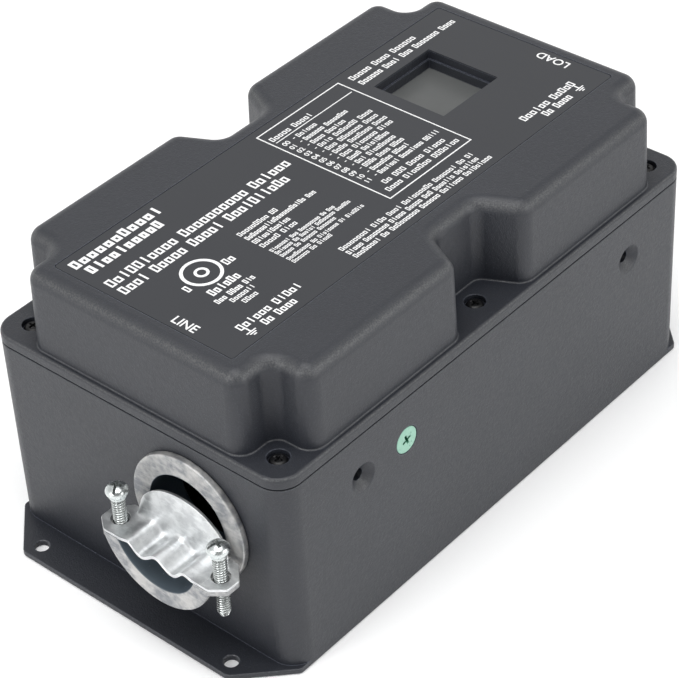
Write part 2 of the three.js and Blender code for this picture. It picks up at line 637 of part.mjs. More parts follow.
function contactorHousing() {
  const { l, w, z, wall, towerL, towerZ, screwX } = HOUSING;
  const well = block([-l / 2 + wall, l / 2 - wall], [-w / 2 + wall, w / 2 - wall], [z[0] + 3, z[1] + 1]);
  const walls = cut(block([-l / 2, l / 2], [-w / 2, w / 2], z), well);
  const towers = [-1, 1].map((side) => {
    const [near, far] = [side * (l / 2 - towerL), side * l / 2];
    return block([Math.min(near, far), Math.max(near, far)], [-w / 2, w / 2], [z[1] - 6, towerZ]);
  });
  const barrier = (side) => block([side > 0 ? l / 2 - towerL : -l / 2, side > 0 ? l / 2 : -l / 2 + towerL],
    [-1.5, 1.5], [towerZ - 1, towerZ + 12]);
  const bores = [-1, 1].flatMap((i) => [-1, 1].map((j) => rod(2.5, [towerZ - 8, towerZ + 1], 'z',
    [i * screwX, j * POLE_Y, 0], ROUND.small)));
  const leadSlot = block([l / 2 - wall - 1, l / 2 + 1], [-12, 12], [z[0] + 5, z[0] + 17]);
  const whole = cut(joined(walls, ...towers, barrier(-1), barrier(1)), leadSlot, ...bores);
  return whole.translate([CONTACTOR_X, 0, 0]);
}

function contactorCoil() {
  const { r, boreR, flangeR, z } = COIL;
  const profile = [[boreR, z[0]], [flangeR, z[0]], [flangeR, z[0] + 2], [r, z[0] + 2], [r, z[1] - 2],
    [flangeR, z[1] - 2], [flangeR, z[1]], [boreR, z[1]], [boreR, z[0]]];
  return turned(profile, 'z', [CONTACTOR_X, 0, 0], ROUND.medium);
}

const CORE_TOP = 21;
const PLUNGER_R = 5.6;

const PLUNGER_HEAD = { r: 9, low: CARRIER_Z - 2.6, high: CARRIER_Z - 0.05 };

function fixedCore() {
  return rod(PLUNGER_R, [HOUSING.z[0] + 3.05, CORE_TOP], 'z', [CONTACTOR_X, 0, 0], ROUND.medium);
}

// The plunger, with a broad head that the contact carrier sits on.
function armaturePlunger() {
  const foot = CORE_TOP + ARMATURE_GAP;
  const { r, low, high } = PLUNGER_HEAD;
  const profile = [[0, foot], [PLUNGER_R, foot], [PLUNGER_R, low], [r, low], [r, high], [0, high]];
  return turned(profile, 'z', [CONTACTOR_X, 0, 0], ROUND.medium);
}

function contactCarrier() {
  const reach = POLE_Y + 7;
  const bar = block([-7, 7], [-reach, reach], [CARRIER_Z, CARRIER_Z + 7]);
  const rib = block([-2, 2], [-reach, reach], [CARRIER_Z + 6, CARRIER_Z + 10]);
  return joined(bar, rib).translate([CONTACTOR_X, 0, 0]);
}

// A copper bar that closes one pole, with a contact pad under each end.
function contactBridge(side) {
  const half = HOUSING.l / 2 - HOUSING.towerL + 8;
  const bar = block([-half, half], [-4.5, 4.5], [BRIDGE_Z, CARRIER_Z - 0.05]);
  return bar.translate([CONTACTOR_X, side * POLE_Y, 0]);
}

// A terminal strap on one tower: pad under the bridge's end, tongue out past the housing.
function terminal(end, side) {
  const z0 = HOUSING.towerZ + 0.05;
  const inner = HOUSING.l / 2 - HOUSING.towerL + 0.5;
  const strap = block([inner, inner + TERMINAL.l], [-TERMINAL.w / 2, TERMINAL.w / 2],
    [z0, z0 + TERMINAL.t]);
  const pad = rod(TERMINAL.padR, [z0 + TERMINAL.t - 1, z0 + TERMINAL.t + TERMINAL.padT], 'z',
    [inner + TERMINAL.padX, 0, 0], ROUND.small);
  const bore = rod(2.5, [z0 - 1, z0 + 5], 'z', [HOUSING.screwX, 0, 0], ROUND.small);
  const wireBore = rod(2.2, [z0 - 1, z0 + 5], 'z', [inner + TERMINAL.l - 5, 0, 0], ROUND.small);
  const one = cut(joined(strap, pad), bore, wireBore);
  return (end < 0 ? one.rotate([0, 0, 180]) : one).translate([CONTACTOR_X, side * POLE_Y, 0]);
}

function terminalScrew(end, side) {
  const x = CONTACTOR_X + end * HOUSING.screwX;
  const seat = HOUSING.towerZ + 0.1 + TERMINAL.t;
  return panScrew([x, side * POLE_Y, seat], { r: 2.2, headR: 4.1, headT: 2.6, length: 9 });
}

// A helical wire, as a tube swept along its own curve.
class Helix extends THREE.Curve {
  constructor(radius, z0, z1, turns) {
    super();
    Object.assign(this, { radius, z0, z1, turns });
  }

  getPoint(t, target = new THREE.Vector3()) {
    const angle = t * this.turns * 2 * Math.PI;
    const z = this.z0 + (this.z1 - this.z0) * t;
    return target.set(this.radius * Math.cos(angle), this.radius * Math.sin(angle), z);
  }
}

function sweptWire(curve, r, steps, sides = 6) {
  const points = Array.from({ length: sides }, (_, k) => new THREE.Vector2(
    r * Math.cos(2 * Math.PI * k / sides), r * Math.sin(2 * Math.PI * k / sides)));
  const path = { steps, extrudePath: curve, bevelEnabled: false };
  return toSolid(new THREE.ExtrudeGeometry(new THREE.Shape(points), path));
}

const SPRING = { radius: 7.6, wireR: 0.8, turns: 4 };

function returnSpring() {
  const low = COIL.z[1] + SPRING.wireR + 0.1;
  const high = PLUNGER_HEAD.low - SPRING.wireR - 0.1;
  const { radius, wireR, turns } = SPRING;
  const wire = sweptWire(new Helix(radius, low, high, turns), wireR, turns * 10, 5);
  return wire.translate([CONTACTOR_X, 0, 0]);
}

// ---- the boards and what they carry ----
const BOARD_TOP = BOARD.z + BOARD.t;
const ON_BOARD = BOARD_TOP + 0.05;

function mainBoard() {
  const bores = boardSpots().map(([x, y]) => rod(PIN_BORE_R, [BOARD.z - 1, BOARD_TOP + 1], 'z',
    [x, y, 0], 8));
  return cut(block(BOARD.x, BOARD.y, [BOARD.z, BOARD_TOP]), ...bores);
}

const TRANSFORMER = { x: [44, 88], y: -5, coreT: 22, windingL: 26, windingW: 40, h: 36 };

// A stacked-core transformer: core with the winding standing out on both faces.
function powerTransformer() {
  const { x, y, coreT, windingL, windingW, h } = TRANSFORMER;
  const core = block(x, [y - coreT / 2, y + coreT / 2], [ON_BOARD, ON_BOARD + h]);
  const middleX = (x[0] + x[1]) / 2;
  const winding = block([middleX - windingL / 2, middleX + windingL / 2],
    [y - windingW / 2, y + windingW / 2], [ON_BOARD + h / 6, ON_BOARD + h * 5 / 6]);
  return joined(core, winding);
}

const SENSOR = { x: 32, y: 40, z: ON_BOARD + 20, r: 17, boreR: 9, t: 12, footW: 20, footH: 9 };

// A current sensor: an upright ring on a foot, its hole along X for one load wire.
function currentSensor(side) {
  const { x, y, z, r, boreR, t, footW, footH } = SENSOR;
  const at = [x, side * y, z];
  const ring = rod(r, [0, t], 'x', at, 24);
  const foot = block([x, x + t], [side * y - footW / 2, side * y + footW / 2], [ON_BOARD, ON_BOARD + footH]);
  return cut(joined(ring, foot), rod(boreR, [-1, t + 1], 'x', at, ROUND.medium));
}

const VARISTOR = { x: 60, pitch: 11, y: 38, r: 10, t: 5, z: ON_BOARD + 13 };

// A disc varistor on two leads.
function surgeVaristor(k) {
  const { pitch, y, r, t, z } = VARISTOR;
  const x = VARISTOR.x + pitch * k;
  const disc = rod(r, [0, t], 'x', [x, y, z], ROUND.medium);
  const leads = [-1, 1].map((side) => block([x + 2, x + 3], [y + side * 4 - 0.5, y + side * 4 + 0.5],
    [ON_BOARD, ON_BOARD + 8]));
  return joined(disc, ...leads);
}

const HEADER = { x: 97, y: 10.3, l: 8, w: 26, h: 9 };

function ribbonHeader() {
  const { x, y, l, w, h } = HEADER;
  const shroud = block([x - l / 2, x + l / 2], [y - w / 2, y + w / 2], [ON_BOARD, ON_BOARD + h]);
  const wall = 1.2;
  const well = block([x - l / 2 + wall, x + l / 2 - wall], [y - w / 2 + wall, y + w / 2 - wall],
    [ON_BOARD + 2, ON_BOARD + h + 1]);
  return cut(shroud, well);
}

// The flat lead from the display board down to the header, plug included.
function ribbonCable() {
  const { x, y, l, w, h } = HEADER;
  const inset = 1.6;
  const plug = block([x - l / 2 + inset, x + l / 2 - inset], [y - w / 2 + inset, y + w / 2 - inset],
    [ON_BOARD + 2.4, ON_BOARD + h + 4]);
  const strip = block([x - 0.6, x + 0.6], [y - 10, y + 10], [ON_BOARD + h + 3, DISPLAY_BOARD.z - 0.05]);
  return joined(plug, strip);
}

function displayBoard() {
  const { x, y } = DISPLAY;
  const { l, w, z, t } = DISPLAY_BOARD;
  const bores = displayBoardSpots().map(([px, py]) => rod(PIN_BORE_R, [z - 1, z + t + 1], 'z',
    [px, py, 0], 8));
  return cut(block([x - l / 2, x + l / 2], [y - w / 2, y + w / 2], [z, z + t]), ...bores);
}

function digitDisplay() {
  const { x, y } = DISPLAY;
  const low = DISPLAY_BOARD.z + DISPLAY_BOARD.t + 0.05;
  const [halfL, halfW, h] = [15, 9.5, 8];
  return block([x - halfL, x + halfL], [y - halfW, y + halfW], [low, low + h]);
}

const NEUTRAL = {
  x: [-72, -16], y: [56, 67], z: [FLOOR + 0.05, FLOOR + 15], wireZ: 10, wireR: 3.4, screwR: 2.5,
};

function neutralBar() {
  const { wireZ, wireR, screwR } = NEUTRAL;
  const y = (NEUTRAL.y[0] + NEUTRAL.y[1]) / 2;
  const screwSpots = neutralScrewSpots();
  const wireBores = screwSpots.map(([x]) => rod(wireR, [NEUTRAL.y[0] - 1, NEUTRAL.y[1] + 1], 'y',
    [x, 0, wireZ], ROUND.small));
  const screwBores = screwSpots.map(([x]) => rod(screwR, [wireZ, NEUTRAL.z[1] + 1], 'z',
    [x, y, 0], ROUND.small));
  return cut(block(NEUTRAL.x, NEUTRAL.y, NEUTRAL.z), ...wireBores, ...screwBores);
}

function neutralScrewSpots() {
  const y = (NEUTRAL.y[0] + NEUTRAL.y[1]) / 2;
  return [NEUTRAL.x[0] + 10, NEUTRAL.x[1] - 10].map((x) => [x, y, NEUTRAL.z[1] + 0.05]);
}

// A lead from the coil to the board, out through the slot in the housing's load-side wall.
function coilLead(side) {
  const points = [
    [CONTACTOR_X + 17, side * 6, 16], [CONTACTOR_X + 27, side * 7, 16], [CONTACTOR_X + 38, side * 8, 17],
    [10, side * 10, 27], [21, side * 12, 27], [25, side * 12, ON_BOARD + 0.6],
  ];
  const curve = new THREE.CatmullRomCurve3(points.map((p) => new THREE.Vector3(...p)));
  return sweptWire(curve, 1, 14, 5);
}

// ---- the assembly ----
const paint = (color, roughness, metalness) => ({ color, roughness, metalness });
const FINISH = {
  shell: paint(0x4a4b4f, 0.6, 0), film: paint(0x4e4f53, 0.5, 0), seal: paint(0x141416, 0.8, 0),
  darkSteel: paint(0x1c1d20, 0.45, 0.8), pane: paint(0x6a6a68, 0.15, 0), diecast: paint(0xa9abaa, 0.5, 1),
  zinc: paint(0xc9cdcc, 0.3, 1), ground: paint(0x7fc7a8, 0.4, 0.4), lug: paint(0xb8bab6, 0.4, 1),
  phenolic: paint(0x26241f, 0.6, 0), copper: paint(0xb87345, 0.35, 1), brass: paint(0xc2a15a, 0.35, 1),
  winding: paint(0x8a5a2a, 0.5, 0.1), board: paint(0x1f5a35, 0.5, 0), varistor: paint(0x2c5fa0, 0.4, 0),
  lead: paint(0xb03a2e, 0.5, 0), ribbon: paint(0x9a9ca0, 0.6, 0), led: paint(0x202226, 0.3, 0),
};

const part = new THREE.Group();

function add(name, solid, finish) {
  const mesh = new THREE.Mesh(toGeometry(solid), new THREE.MeshStandardMaterial(finish));
  mesh.name = name;
  part.add(mesh);
}

add('base_tub', baseTub(), FINISH.shell);
add('lid_gasket', lidGasket(), FINISH.seal);
add('lid', lid(), FINISH.shell);
add('label_overlay', labelOverlay(), FINISH.film);
add('display_window', displayWindow(), FINISH.pane);
LID_SCREW_SPOTS.forEach((spot, i) => add(`lid_screw_${i + 1}`, lidScrew(spot), FINISH.darkSteel));

const ENDS = [['line', (solid) => solid], ['load', atLoadEnd]];
for (const [end, place] of ENDS) {
  add(`${end}_connector_body`, place(connectorBody()), FINISH.diecast);
  add(`${end}_connector_locknut`, place(connectorLocknut()), FINISH.zinc);
  add(`${end}_clamp_strap`, place(clampStrap()), FINISH.diecast);
  add(`${end}_clamp_screw_a`, place(clampScrew(1)), FINISH.zinc);
  add(`${end}_clamp_screw_b`, place(clampScrew(-1)), FINISH.zinc);
  add(`${end}_ground_screw`, place(groundScrew()), FINISH.ground);
  add(`${end}_ground_lug`, place(groundLug()), FINISH.lug);
  add(`${end}_lug_screw`, place(lugScrew()), FINISH.zinc);
}

add('contactor_plate', contactorPlate(), FINISH.zinc);
add('contactor_housing', contactorHousing(), FINISH.phenolic);
add('contactor_coil', contactorCoil(), FINISH.winding);
add('contactor_core', fixedCore(), FINISH.darkSteel);
add('armature_plunger', armaturePlunger(), FINISH.darkSteel);
add('contact_carrier', contactCarrier(), FINISH.phenolic);
add('return_spring', returnSpring(), FINISH.zinc);
[['1', 1], ['2', -1]].forEach(([pole, side]) => {
  add(`contact_bridge_${pole}`, contactBridge(side), FINISH.copper);
  add(`line_terminal_${pole}`, terminal(-1, side), FINISH.copper);
  add(`load_terminal_${pole}`, terminal(1, side), FINISH.copper);
  add(`line_terminal_screw_${pole}`, terminalScrew(-1, side), FINISH.zinc);
  add(`load_terminal_screw_${pole}`, terminalScrew(1, side), FINISH.zinc);
  add(`current_sensor_${pole}`, currentSensor(side), FINISH.varistor);
  add(`coil_lead_${pole}`, coilLead(side), FINISH.lead);
});

add('neutral_bar', neutralBar(), FINISH.brass);
neutralScrewSpots().forEach((spot, i) => add(`neutral_screw_${i + 1}`,
  panScrew(spot, { r: 2.2, headR: 4, headT: 2.4, length: 8 }), FINISH.zinc));
add('main_board', mainBoard(), FINISH.board);
add('power_transformer', powerTransformer(), FINISH.winding);
[0, 1, 2].forEach((k) => add(`surge_varistor_${k + 1}`, surgeVaristor(k), FINISH.varistor));
add('ribbon_header', ribbonHeader(), FINISH.led);
add('ribbon_cable', ribbonCable(), FINISH.ribbon);
add('display_board', displayBoard(), FINISH.board);
add('digit_display', digitDisplay(), FINISH.led);

export default part;
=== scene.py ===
"""Looks of the hard-wired surge protector box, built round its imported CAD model.

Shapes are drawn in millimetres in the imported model's frame, and finished() turns them into metres. +X runs
from the line end to the load end, and -Y is the long side with the line end's ground screw. Pieces at the
load end are those of the line end turned half a turn about +Z.
"""
import json
import math
import random

import bmesh
import bpy
from mathutils import Matrix, Vector


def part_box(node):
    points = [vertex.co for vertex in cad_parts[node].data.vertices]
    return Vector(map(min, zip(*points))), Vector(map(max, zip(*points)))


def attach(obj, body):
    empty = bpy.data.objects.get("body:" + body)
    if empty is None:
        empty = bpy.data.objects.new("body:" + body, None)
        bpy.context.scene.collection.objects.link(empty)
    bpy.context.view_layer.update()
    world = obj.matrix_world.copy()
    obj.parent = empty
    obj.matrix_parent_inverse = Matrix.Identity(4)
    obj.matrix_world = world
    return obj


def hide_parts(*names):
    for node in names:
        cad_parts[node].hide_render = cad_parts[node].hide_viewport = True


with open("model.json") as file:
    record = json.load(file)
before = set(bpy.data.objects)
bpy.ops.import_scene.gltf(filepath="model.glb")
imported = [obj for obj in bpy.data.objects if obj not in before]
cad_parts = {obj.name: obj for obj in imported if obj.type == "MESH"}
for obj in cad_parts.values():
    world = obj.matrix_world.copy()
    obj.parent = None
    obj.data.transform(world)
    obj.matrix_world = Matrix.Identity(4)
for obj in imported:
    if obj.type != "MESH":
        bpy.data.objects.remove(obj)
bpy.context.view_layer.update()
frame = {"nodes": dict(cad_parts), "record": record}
SLOT_OF = {part["node"]: part["material_slot"] for part in frame["record"]["subparts"]}

MM = 0.001


def box_mm(node):
    low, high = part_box(node)
    return low / MM, high / MM


def middle_mm(node):
    low, high = box_mm(node)
    return (low + high) / 2


# ---- dimensions in millimetres: outer sizes come from the frame, the rest are the design's own ----
TUB_HIGH = box_mm("base_tub")[1]
LID_HIGH = box_mm("lid")[1]
BOX_L = 2 * LID_HIGH.x
BOX_W = 2 * LID_HIGH.y
SEAM_Z = TUB_HIGH.z
TOP_Z = LID_HIGH.z
LID_Z = box_mm("lid_gasket")[1].z + 0.05
DECK_Z = LID_Z + 5
CORNER_R = 11
WALL = 3
FLOOR = 3

FLANGE_OUT = TUB_HIGH.x
FLANGE_T = 2.7
FLANGE_ROOT_Y = 77.5
FLANGE_HOLE = (145.3, 55.1, 3.2)

PLATEAU = {"a": 131.7, "b": 77.9, "notch_x": 112.9, "notch_y": 58.7, "mouth": 22, "floor": 12.5}
PLATEAU_CONVEX = 8
PLATEAU_CONCAVE = 6
PLATEAU_STEPS = 14
DRAFT = 0.85
EDGE_R = 6.5
FOOT_FILLET = 0.8
DECK_EDGE_R = 1.6

LABEL = {"length": 244.2, "width": 96.8, "r": 1.5, "depth": 0.6}
PANE_LOW, PANE_HIGH = box_mm("display_window")
DISPLAY_HALF = (18.8, 19.3)
DISPLAY_LEDGE = 0.9
DISPLAY_LEDGE_Z = TOP_Z - 4.5

SIDE_HOLE = {"z": 75.1, "mouth": 6.8, "r": 2.8, "cone": 3.2, "boss": 9, "boss_t": 4}
SIDE_HOLES_X = (-87.8, 91.5)

CLAMP = middle_mm("line_connector_body")
LIP_X = box_mm("line_connector_body")[0].x
RING_R = 30
THROAT_R = 20.6
NIPPLE_R = 24
TROUGH_R = 23.2
RING_FACE_X = -137.5
NIPPLE_END_X = -119
EAR_TOP = box_mm("line_clamp_strap")[0].z
EAR_REACH = 34.7
EAR_BACK_X = -139.2
STRAP_T = 1.3

LINE_END = Matrix.Identity(4)
LOAD_END = Matrix.Rotation(math.pi, 4, "Z")
ENDS = {"line": LINE_END, "load": LOAD_END}


# ---- solids ----
def solid(vertices, faces):
    """An object with a closed mesh: welded, with its faces pointing out."""
    mesh = bpy.data.meshes.new("solid")
    mesh.from_pydata([tuple(v) for v in vertices], [], faces)
    work = bmesh.new()
    work.from_mesh(mesh)
    bmesh.ops.remove_doubles(work, verts=work.verts, dist=1e-4)
    bmesh.ops.recalc_face_normals(work, faces=work.faces)
    work.to_mesh(mesh)
    work.free()
    made = bpy.data.objects.new("solid", mesh)
    bpy.context.scene.collection.objects.link(made)
    return made


def settled(piece):
    """The piece with its modifiers made part of its mesh."""
    bpy.context.view_layer.update()
    graph = bpy.context.evaluated_depsgraph_get()
    mesh = bpy.data.meshes.new_from_object(piece.evaluated_get(graph))
    piece.modifiers.clear()
    piece.data = mesh
    return piece


def combined(body, add=(), cut=()):
    """The body with solids joined on, then others cut away. The tools are used up."""
    for tools, operation in ((add, "UNION"), (cut, "DIFFERENCE")):
        for tool in tools:
            step = body.modifiers.new("combine", "BOOLEAN")
            step.object = tool
            step.operation = operation
            step.solver = "MANIFOLD"
    settled(body)
    for tool in (*add, *cut):
        bpy.data.objects.remove(tool)
    return body


def moved(piece, matrix):
    piece.data.transform(matrix)
    return piece


def twin(piece, matrix):
    """A copy of a solid, moved by matrix."""
    copy = bpy.data.objects.new("solid", piece.data.copy())
    bpy.context.scene.collection.objects.link(copy)
    return moved(copy, matrix)


def corner_arcs(corners):
    """The arcs that round a polygon's corners. Corners are (x, y, radius), counter-clockwise."""
    arcs = []
    for i, (x, y, r) in enumerate(corners):
        before = corners[i - 1]
        after = corners[(i + 1) % len(corners)]
        back = Vector((before[0] - x, before[1] - y)).normalized()
        ahead = Vector((after[0] - x, after[1] - y)).normalized()
        half = math.acos(back.dot(ahead)) / 2
        side = 1 if back.x * ahead.y - back.y * ahead.x < 0 else -1
        centre = Vector((x, y)) + (back + ahead).normalized() * r / math.sin(half)
        start = math.atan2(side * back.x, -side * back.y)
        end = math.atan2(-side * ahead.x, side * ahead.y)
        arcs.append((centre, side, r, start, math.remainder(end - start, 2 * math.pi)))
    return arcs


def outline(arcs, inset=0.0, steps=10):
    """The rounded polygon moved inwards by inset."""
    points = []
    for centre, side, r, start, sweep in arcs:
        radius = r - side * inset
        for k in range(steps + 1):
            angle = start + sweep * k / steps
            points.append((centre.x + radius * math.cos(angle), centre.y + radius * math.sin(angle)))
    return points


def rectangle(length, width, r, middle=(0, 0)):
    """The arcs of a rounded rectangle."""
    x, y = length / 2, width / 2
    spots = [(x, -y), (x, y), (-x, y), (-x, -y)]
    return corner_arcs([(middle[0] + u, middle[1] + v, r) for u, v in spots])


def loft(layers):
    """A closed skin through (outline, z) layers of equal point count."""
    count = len(layers[0][0])
    vertices = [(x, y, z) for points, z in layers for x, y in points]
    faces = []
    for low in range(0, count * (len(layers) - 1), count):
        for i in range(count):
            a, b = low + i, low + (i + 1) % count
            faces.append((a, b, b + count, a + count))
    faces.append(tuple(range(count - 1, -1, -1)))
    faces.append(tuple(range(count * (len(layers) - 1), count * len(layers))))
    return solid(vertices, faces)


def quarter(steps):
    """Pairs (inward, onward) of a unit quarter round, from the side to the end face."""
    angles = [math.pi / 2 * k / steps for k in range(steps + 1)]
    return [(1 - math.cos(a), math.sin(a)) for a in angles]


def slab(arcs, low, high, edge=0.0, inset=0.0, steps=10):
    """A plate from z low to z high, its top and bottom edges rounded by edge."""
    if not edge:
        points = outline(arcs, inset, steps)
        return loft([(points, low), (points, high)])
    bottom = [(inset + edge * i, low + edge * (1 - o)) for i, o in reversed(quarter(4))]
    top = [(inset + edge * i, high - edge * (1 - o)) for i, o in quarter(4)]
    return loft([(outline(arcs, i, steps), z) for i, z in bottom + top])


def block(x, y, z, edge=0.0, corner=0.0):
    """A block over the ranges x, y and z, with softened edges."""
    r = max(corner, edge, 0.01)
    arcs = rectangle(x[1] - x[0], y[1] - y[0], r, ((x[0] + x[1]) / 2, (y[0] + y[1]) / 2))
    return slab(arcs, z[0], z[1], edge, steps=4)


STAND = {
    "x": Matrix.Rotation(math.pi / 2, 4, "Y"),
    "y": Matrix.Rotation(-math.pi / 2, 4, "X"),
    "z": Matrix.Identity(4),
}


def softened(profile, radius, steps=4, closed=False):
    """The profile with each corner away from the axis rounded."""
    points = [Vector(p) for p in profile]
    count = len(points)
    out = []
    for i, here in enumerate(points):
        if not closed and i in (0, count - 1) or here.x < 1e-6:
            out.append(here)
            continue
        before, after = points[i - 1] - here, points[(i + 1) % count] - here
        reach = min(radius, before.length * 0.45, after.length * 0.45)
        start, end = here + before.normalized() * reach, here + after.normalized() * reach
        for k in range(steps + 1):
            t = k / steps
            out.append(start * (1 - t) ** 2 + here * 2 * t * (1 - t) + end * t * t)
    return [tuple(p) for p in out]


def turned(profile, axis, at, segments=64, closed=False):
    """A solid of revolution. The profile is (radius, distance along the axis) pairs."""
    count = len(profile)
    vertices = []
    for k in range(segments):
        angle = 2 * math.pi * k / segments
        vertices += [(r * math.cos(angle), r * math.sin(angle), t) for r, t in profile]
    faces = []
    for k in range(segments):
        here, ahead = k * count, (k + 1) % segments * count
        for i in range(count if closed else count - 1):
            j = (i + 1) % count
            ring = [here + i, here + j, ahead + j, ahead + i]
            if profile[i][0] < 1e-6:
                ring.remove(ahead + i)
            if profile[j][0] < 1e-6:
                ring.remove(ahead + j)
            if len(ring) > 2:
                faces.append(tuple(ring))
    return moved(solid(vertices, faces), Matrix.Translation(at) @ STAND[axis])


def rod(r, low, high, axis, at, edge=0.0, segments=64):
    profile = [(0, low), (r, low), (r, high), (0, high)]
    return turned(softened(profile, edge) if edge else profile, axis, at, segments)


def cross(size, width, depth, axis, at):
    """A tapering cross recess, as a cutter that goes down the axis from at."""
    bars = []
    for turn in (0, math.pi / 2):
        layers = []
        for share, t in ((1.06, 0.4), (1, 0), (0.45, -depth)):
            half, thin = size * share / 2, width * (0.55 + 0.45 * share) / 2
            layers.append(([(half, -thin), (half, thin), (-half, thin), (-half, -thin)], t))
        bars.append(moved(loft(layers), Matrix.Rotation(turn, 4, "Z")))
    whole = combined(bars[0], add=[bars[1]])
    return moved(whole, Matrix.Translation(at) @ STAND[axis])


ROWS_PER_TURN = 8


def threaded(r, pitch, low, high, at, sides=40, point=3.0):
    """A threaded shank standing on Z, with a tapered point at its lower end."""
    depth = 0.55 * pitch
    rows = round((high - low) / pitch * ROWS_PER_TURN)
    vertices = []
    for i in range(rows + 1):
        z = low + (high - low) * i / rows
        fade = min(1, (high - z) / pitch)
        taper = 0.42 * max(0, low + point - z)
        for k in range(sides):
            phase = (z / pitch - k / sides) % 1
            groove = depth * fade * max(0, min(1, 2.9 * abs(phase - 0.5) - 0.2))
            angle = 2 * math.pi * k / sides
            radius = max(0.3, r - groove - taper)
            vertices.append((radius * math.cos(angle), radius * math.sin(angle), z))
    faces = []
    for low_row in range(0, rows * sides, sides):
        for k in range(sides):
            a, b = low_row + k, low_row + (k + 1) % sides
            faces.append((a, b, b + sides, a + sides))
    faces.append(tuple(range(sides - 1, -1, -1)))
    faces.append(tuple(range(rows * sides, (rows + 1) * sides)))
    return moved(solid(vertices, faces), Matrix.Translation(at))


# ---- finishes ----
def scaled(colour, factor):
    return tuple(min(1, c * factor) for c in colour)


class Finish:
    """A procedural material round the Principled shader. Sizes are in millimetres."""

    def __init__(self, slot):
        self.material = bpy.data.materials.new(slot)
        self.material.use_nodes = True
        self.nodes = self.material.node_tree.nodes
        self.links = self.material.node_tree.links
        self.shader = self.nodes["Principled BSDF"]
        self.place = self.add("ShaderNodeTexCoord").outputs["Object"]
        self.normal = None

    def add(self, kind, inputs=None, **settings):
        node = self.nodes.new(kind)
        for name, value in settings.items():
            setattr(node, name, value)
        for key, value in (inputs or {}).items():
            self.feed(node.inputs[key], value)
        return node

    def feed(self, socket, value):
        if isinstance(value, bpy.types.NodeSocket):
            self.links.new(value, socket)
        elif socket.type == "RGBA" and len(value) == 3:
            socket.default_value = (*value, 1)
        else:
            socket.default_value = value

    def set(self, name, value):
        self.feed(self.shader.inputs[name], value)

    def stretched(self, scale):
        return self.add("ShaderNodeMapping", {"Vector": self.place, "Scale": scale}).outputs[0]

    def noise(self, size, detail=3.0, roughness=0.55, place=None):
        inputs = {"Vector": place or self.place, "Scale": 1 / (size * MM), "Detail": detail,
                  "Roughness": roughness}
        return self.add("ShaderNodeTexNoise", inputs).outputs[0]

    def cells(self, size):
        inputs = {"Vector": self.place, "Scale": 1 / (size * MM)}
        return self.add("ShaderNodeTexVoronoi", inputs).outputs["Distance"]

    def waves(self, size, direction, twist=0.0):
        inputs = {"Vector": self.place, "Scale": 1 / (size * MM * 3.18), "Distortion": twist}
        return self.add("ShaderNodeTexWave", inputs, bands_direction=direction).outputs[1]

    def along(self, axis):
        return self.add("ShaderNodeSeparateXYZ", {"Vector": self.place}).outputs[axis]

    def math(self, operation, a, b=0.0):
        return self.add("ShaderNodeMath", {0: a, 1: b}, operation=operation).outputs[0]

    def remap(self, value, low, high, start, end):
        inputs = {"Value": value, "From Min": low, "From Max": high, "To Min": start, "To Max": end}
        return self.add("ShaderNodeMapRange", inputs).outputs[0]

    def mix(self, factor, a, b):
        node = self.add("ShaderNodeMix", data_type="RGBA")
        for index, value in ((0, factor), (6, a), (7, b)):
            self.feed(node.inputs[index], value)
        return node.outputs[2]

    def edges(self, radius, low=0.01, high=0.18):
        """1 on outer and inner edges, 0 on open faces."""
        soft = self.add("ShaderNodeBevel", {"Radius": radius * MM}, samples=6).outputs[0]
        true = self.add("ShaderNodeNewGeometry").outputs["Normal"]
        same = self.add("ShaderNodeVectorMath", {0: soft, 1: true}, operation="DOT_PRODUCT")
        return self.remap(self.math("SUBTRACT", 1.0, same.outputs["Value"]), low, high, 0.0, 1.0)

    def inside_bore(self):
        """1 on the clamp's bore at either end, 0 outside it. The bore is wider in front of the ring."""
        across = self.math("SUBTRACT", self.math("ABSOLUTE", self.along("Y")), -CLAMP.y * MM)
        above = self.math("SUBTRACT", self.along("Z"), CLAMP.z * MM)
        square = self.math("ADD", self.math("MULTIPLY", across, across), self.math("MULTIPLY", above, above))
        out = self.math("ABSOLUTE", self.along("X"))
        wide = self.remap(out, (-RING_FACE_X + 0.1) * MM, (-RING_FACE_X + 0.4) * MM, THROAT_R * MM,
                          (THROAT_R + 1.4) * MM)
        beyond = self.math("SUBTRACT", self.math("SQRT", square), wide)
        return self.remap(beyond, 0.1 * MM, 0.35 * MM, 1.0, 0.0)

    def leaning(self):
        """1 on faces between upright and level, as rounded rims are, 0 on walls and tops."""
        normal = self.add("ShaderNodeNewGeometry").outputs["Normal"]
        up = self.add("ShaderNodeSeparateXYZ", {"Vector": normal}).outputs["Z"]
        return self.math("MULTIPLY", self.remap(up, 0.2, 0.65, 0.0, 1.0), self.remap(up, 0.7, 0.96, 1.0, 0.0))

    def hollows(self, reach):
        """1 on open faces, falling towards 0 down in the piece's own hollows."""
        node = self.add("ShaderNodeAmbientOcclusion", {"Distance": reach * MM}, samples=6, only_local=True)
        return node.outputs["AO"]

    def soften_edges(self, radius):
        self.normal = self.add("ShaderNodeBevel", {"Radius": radius * MM}, samples=6).outputs[0]

    def bump(self, height, depth):
        inputs = {"Height": height, "Distance": depth * MM, "Strength": 1.0}
        if self.normal:
            inputs["Normal"] = self.normal
        self.normal = self.add("ShaderNodeBump", inputs).outputs[0]

    def done(self):
        if self.normal:
            self.set("Normal", self.normal)
        return self.material


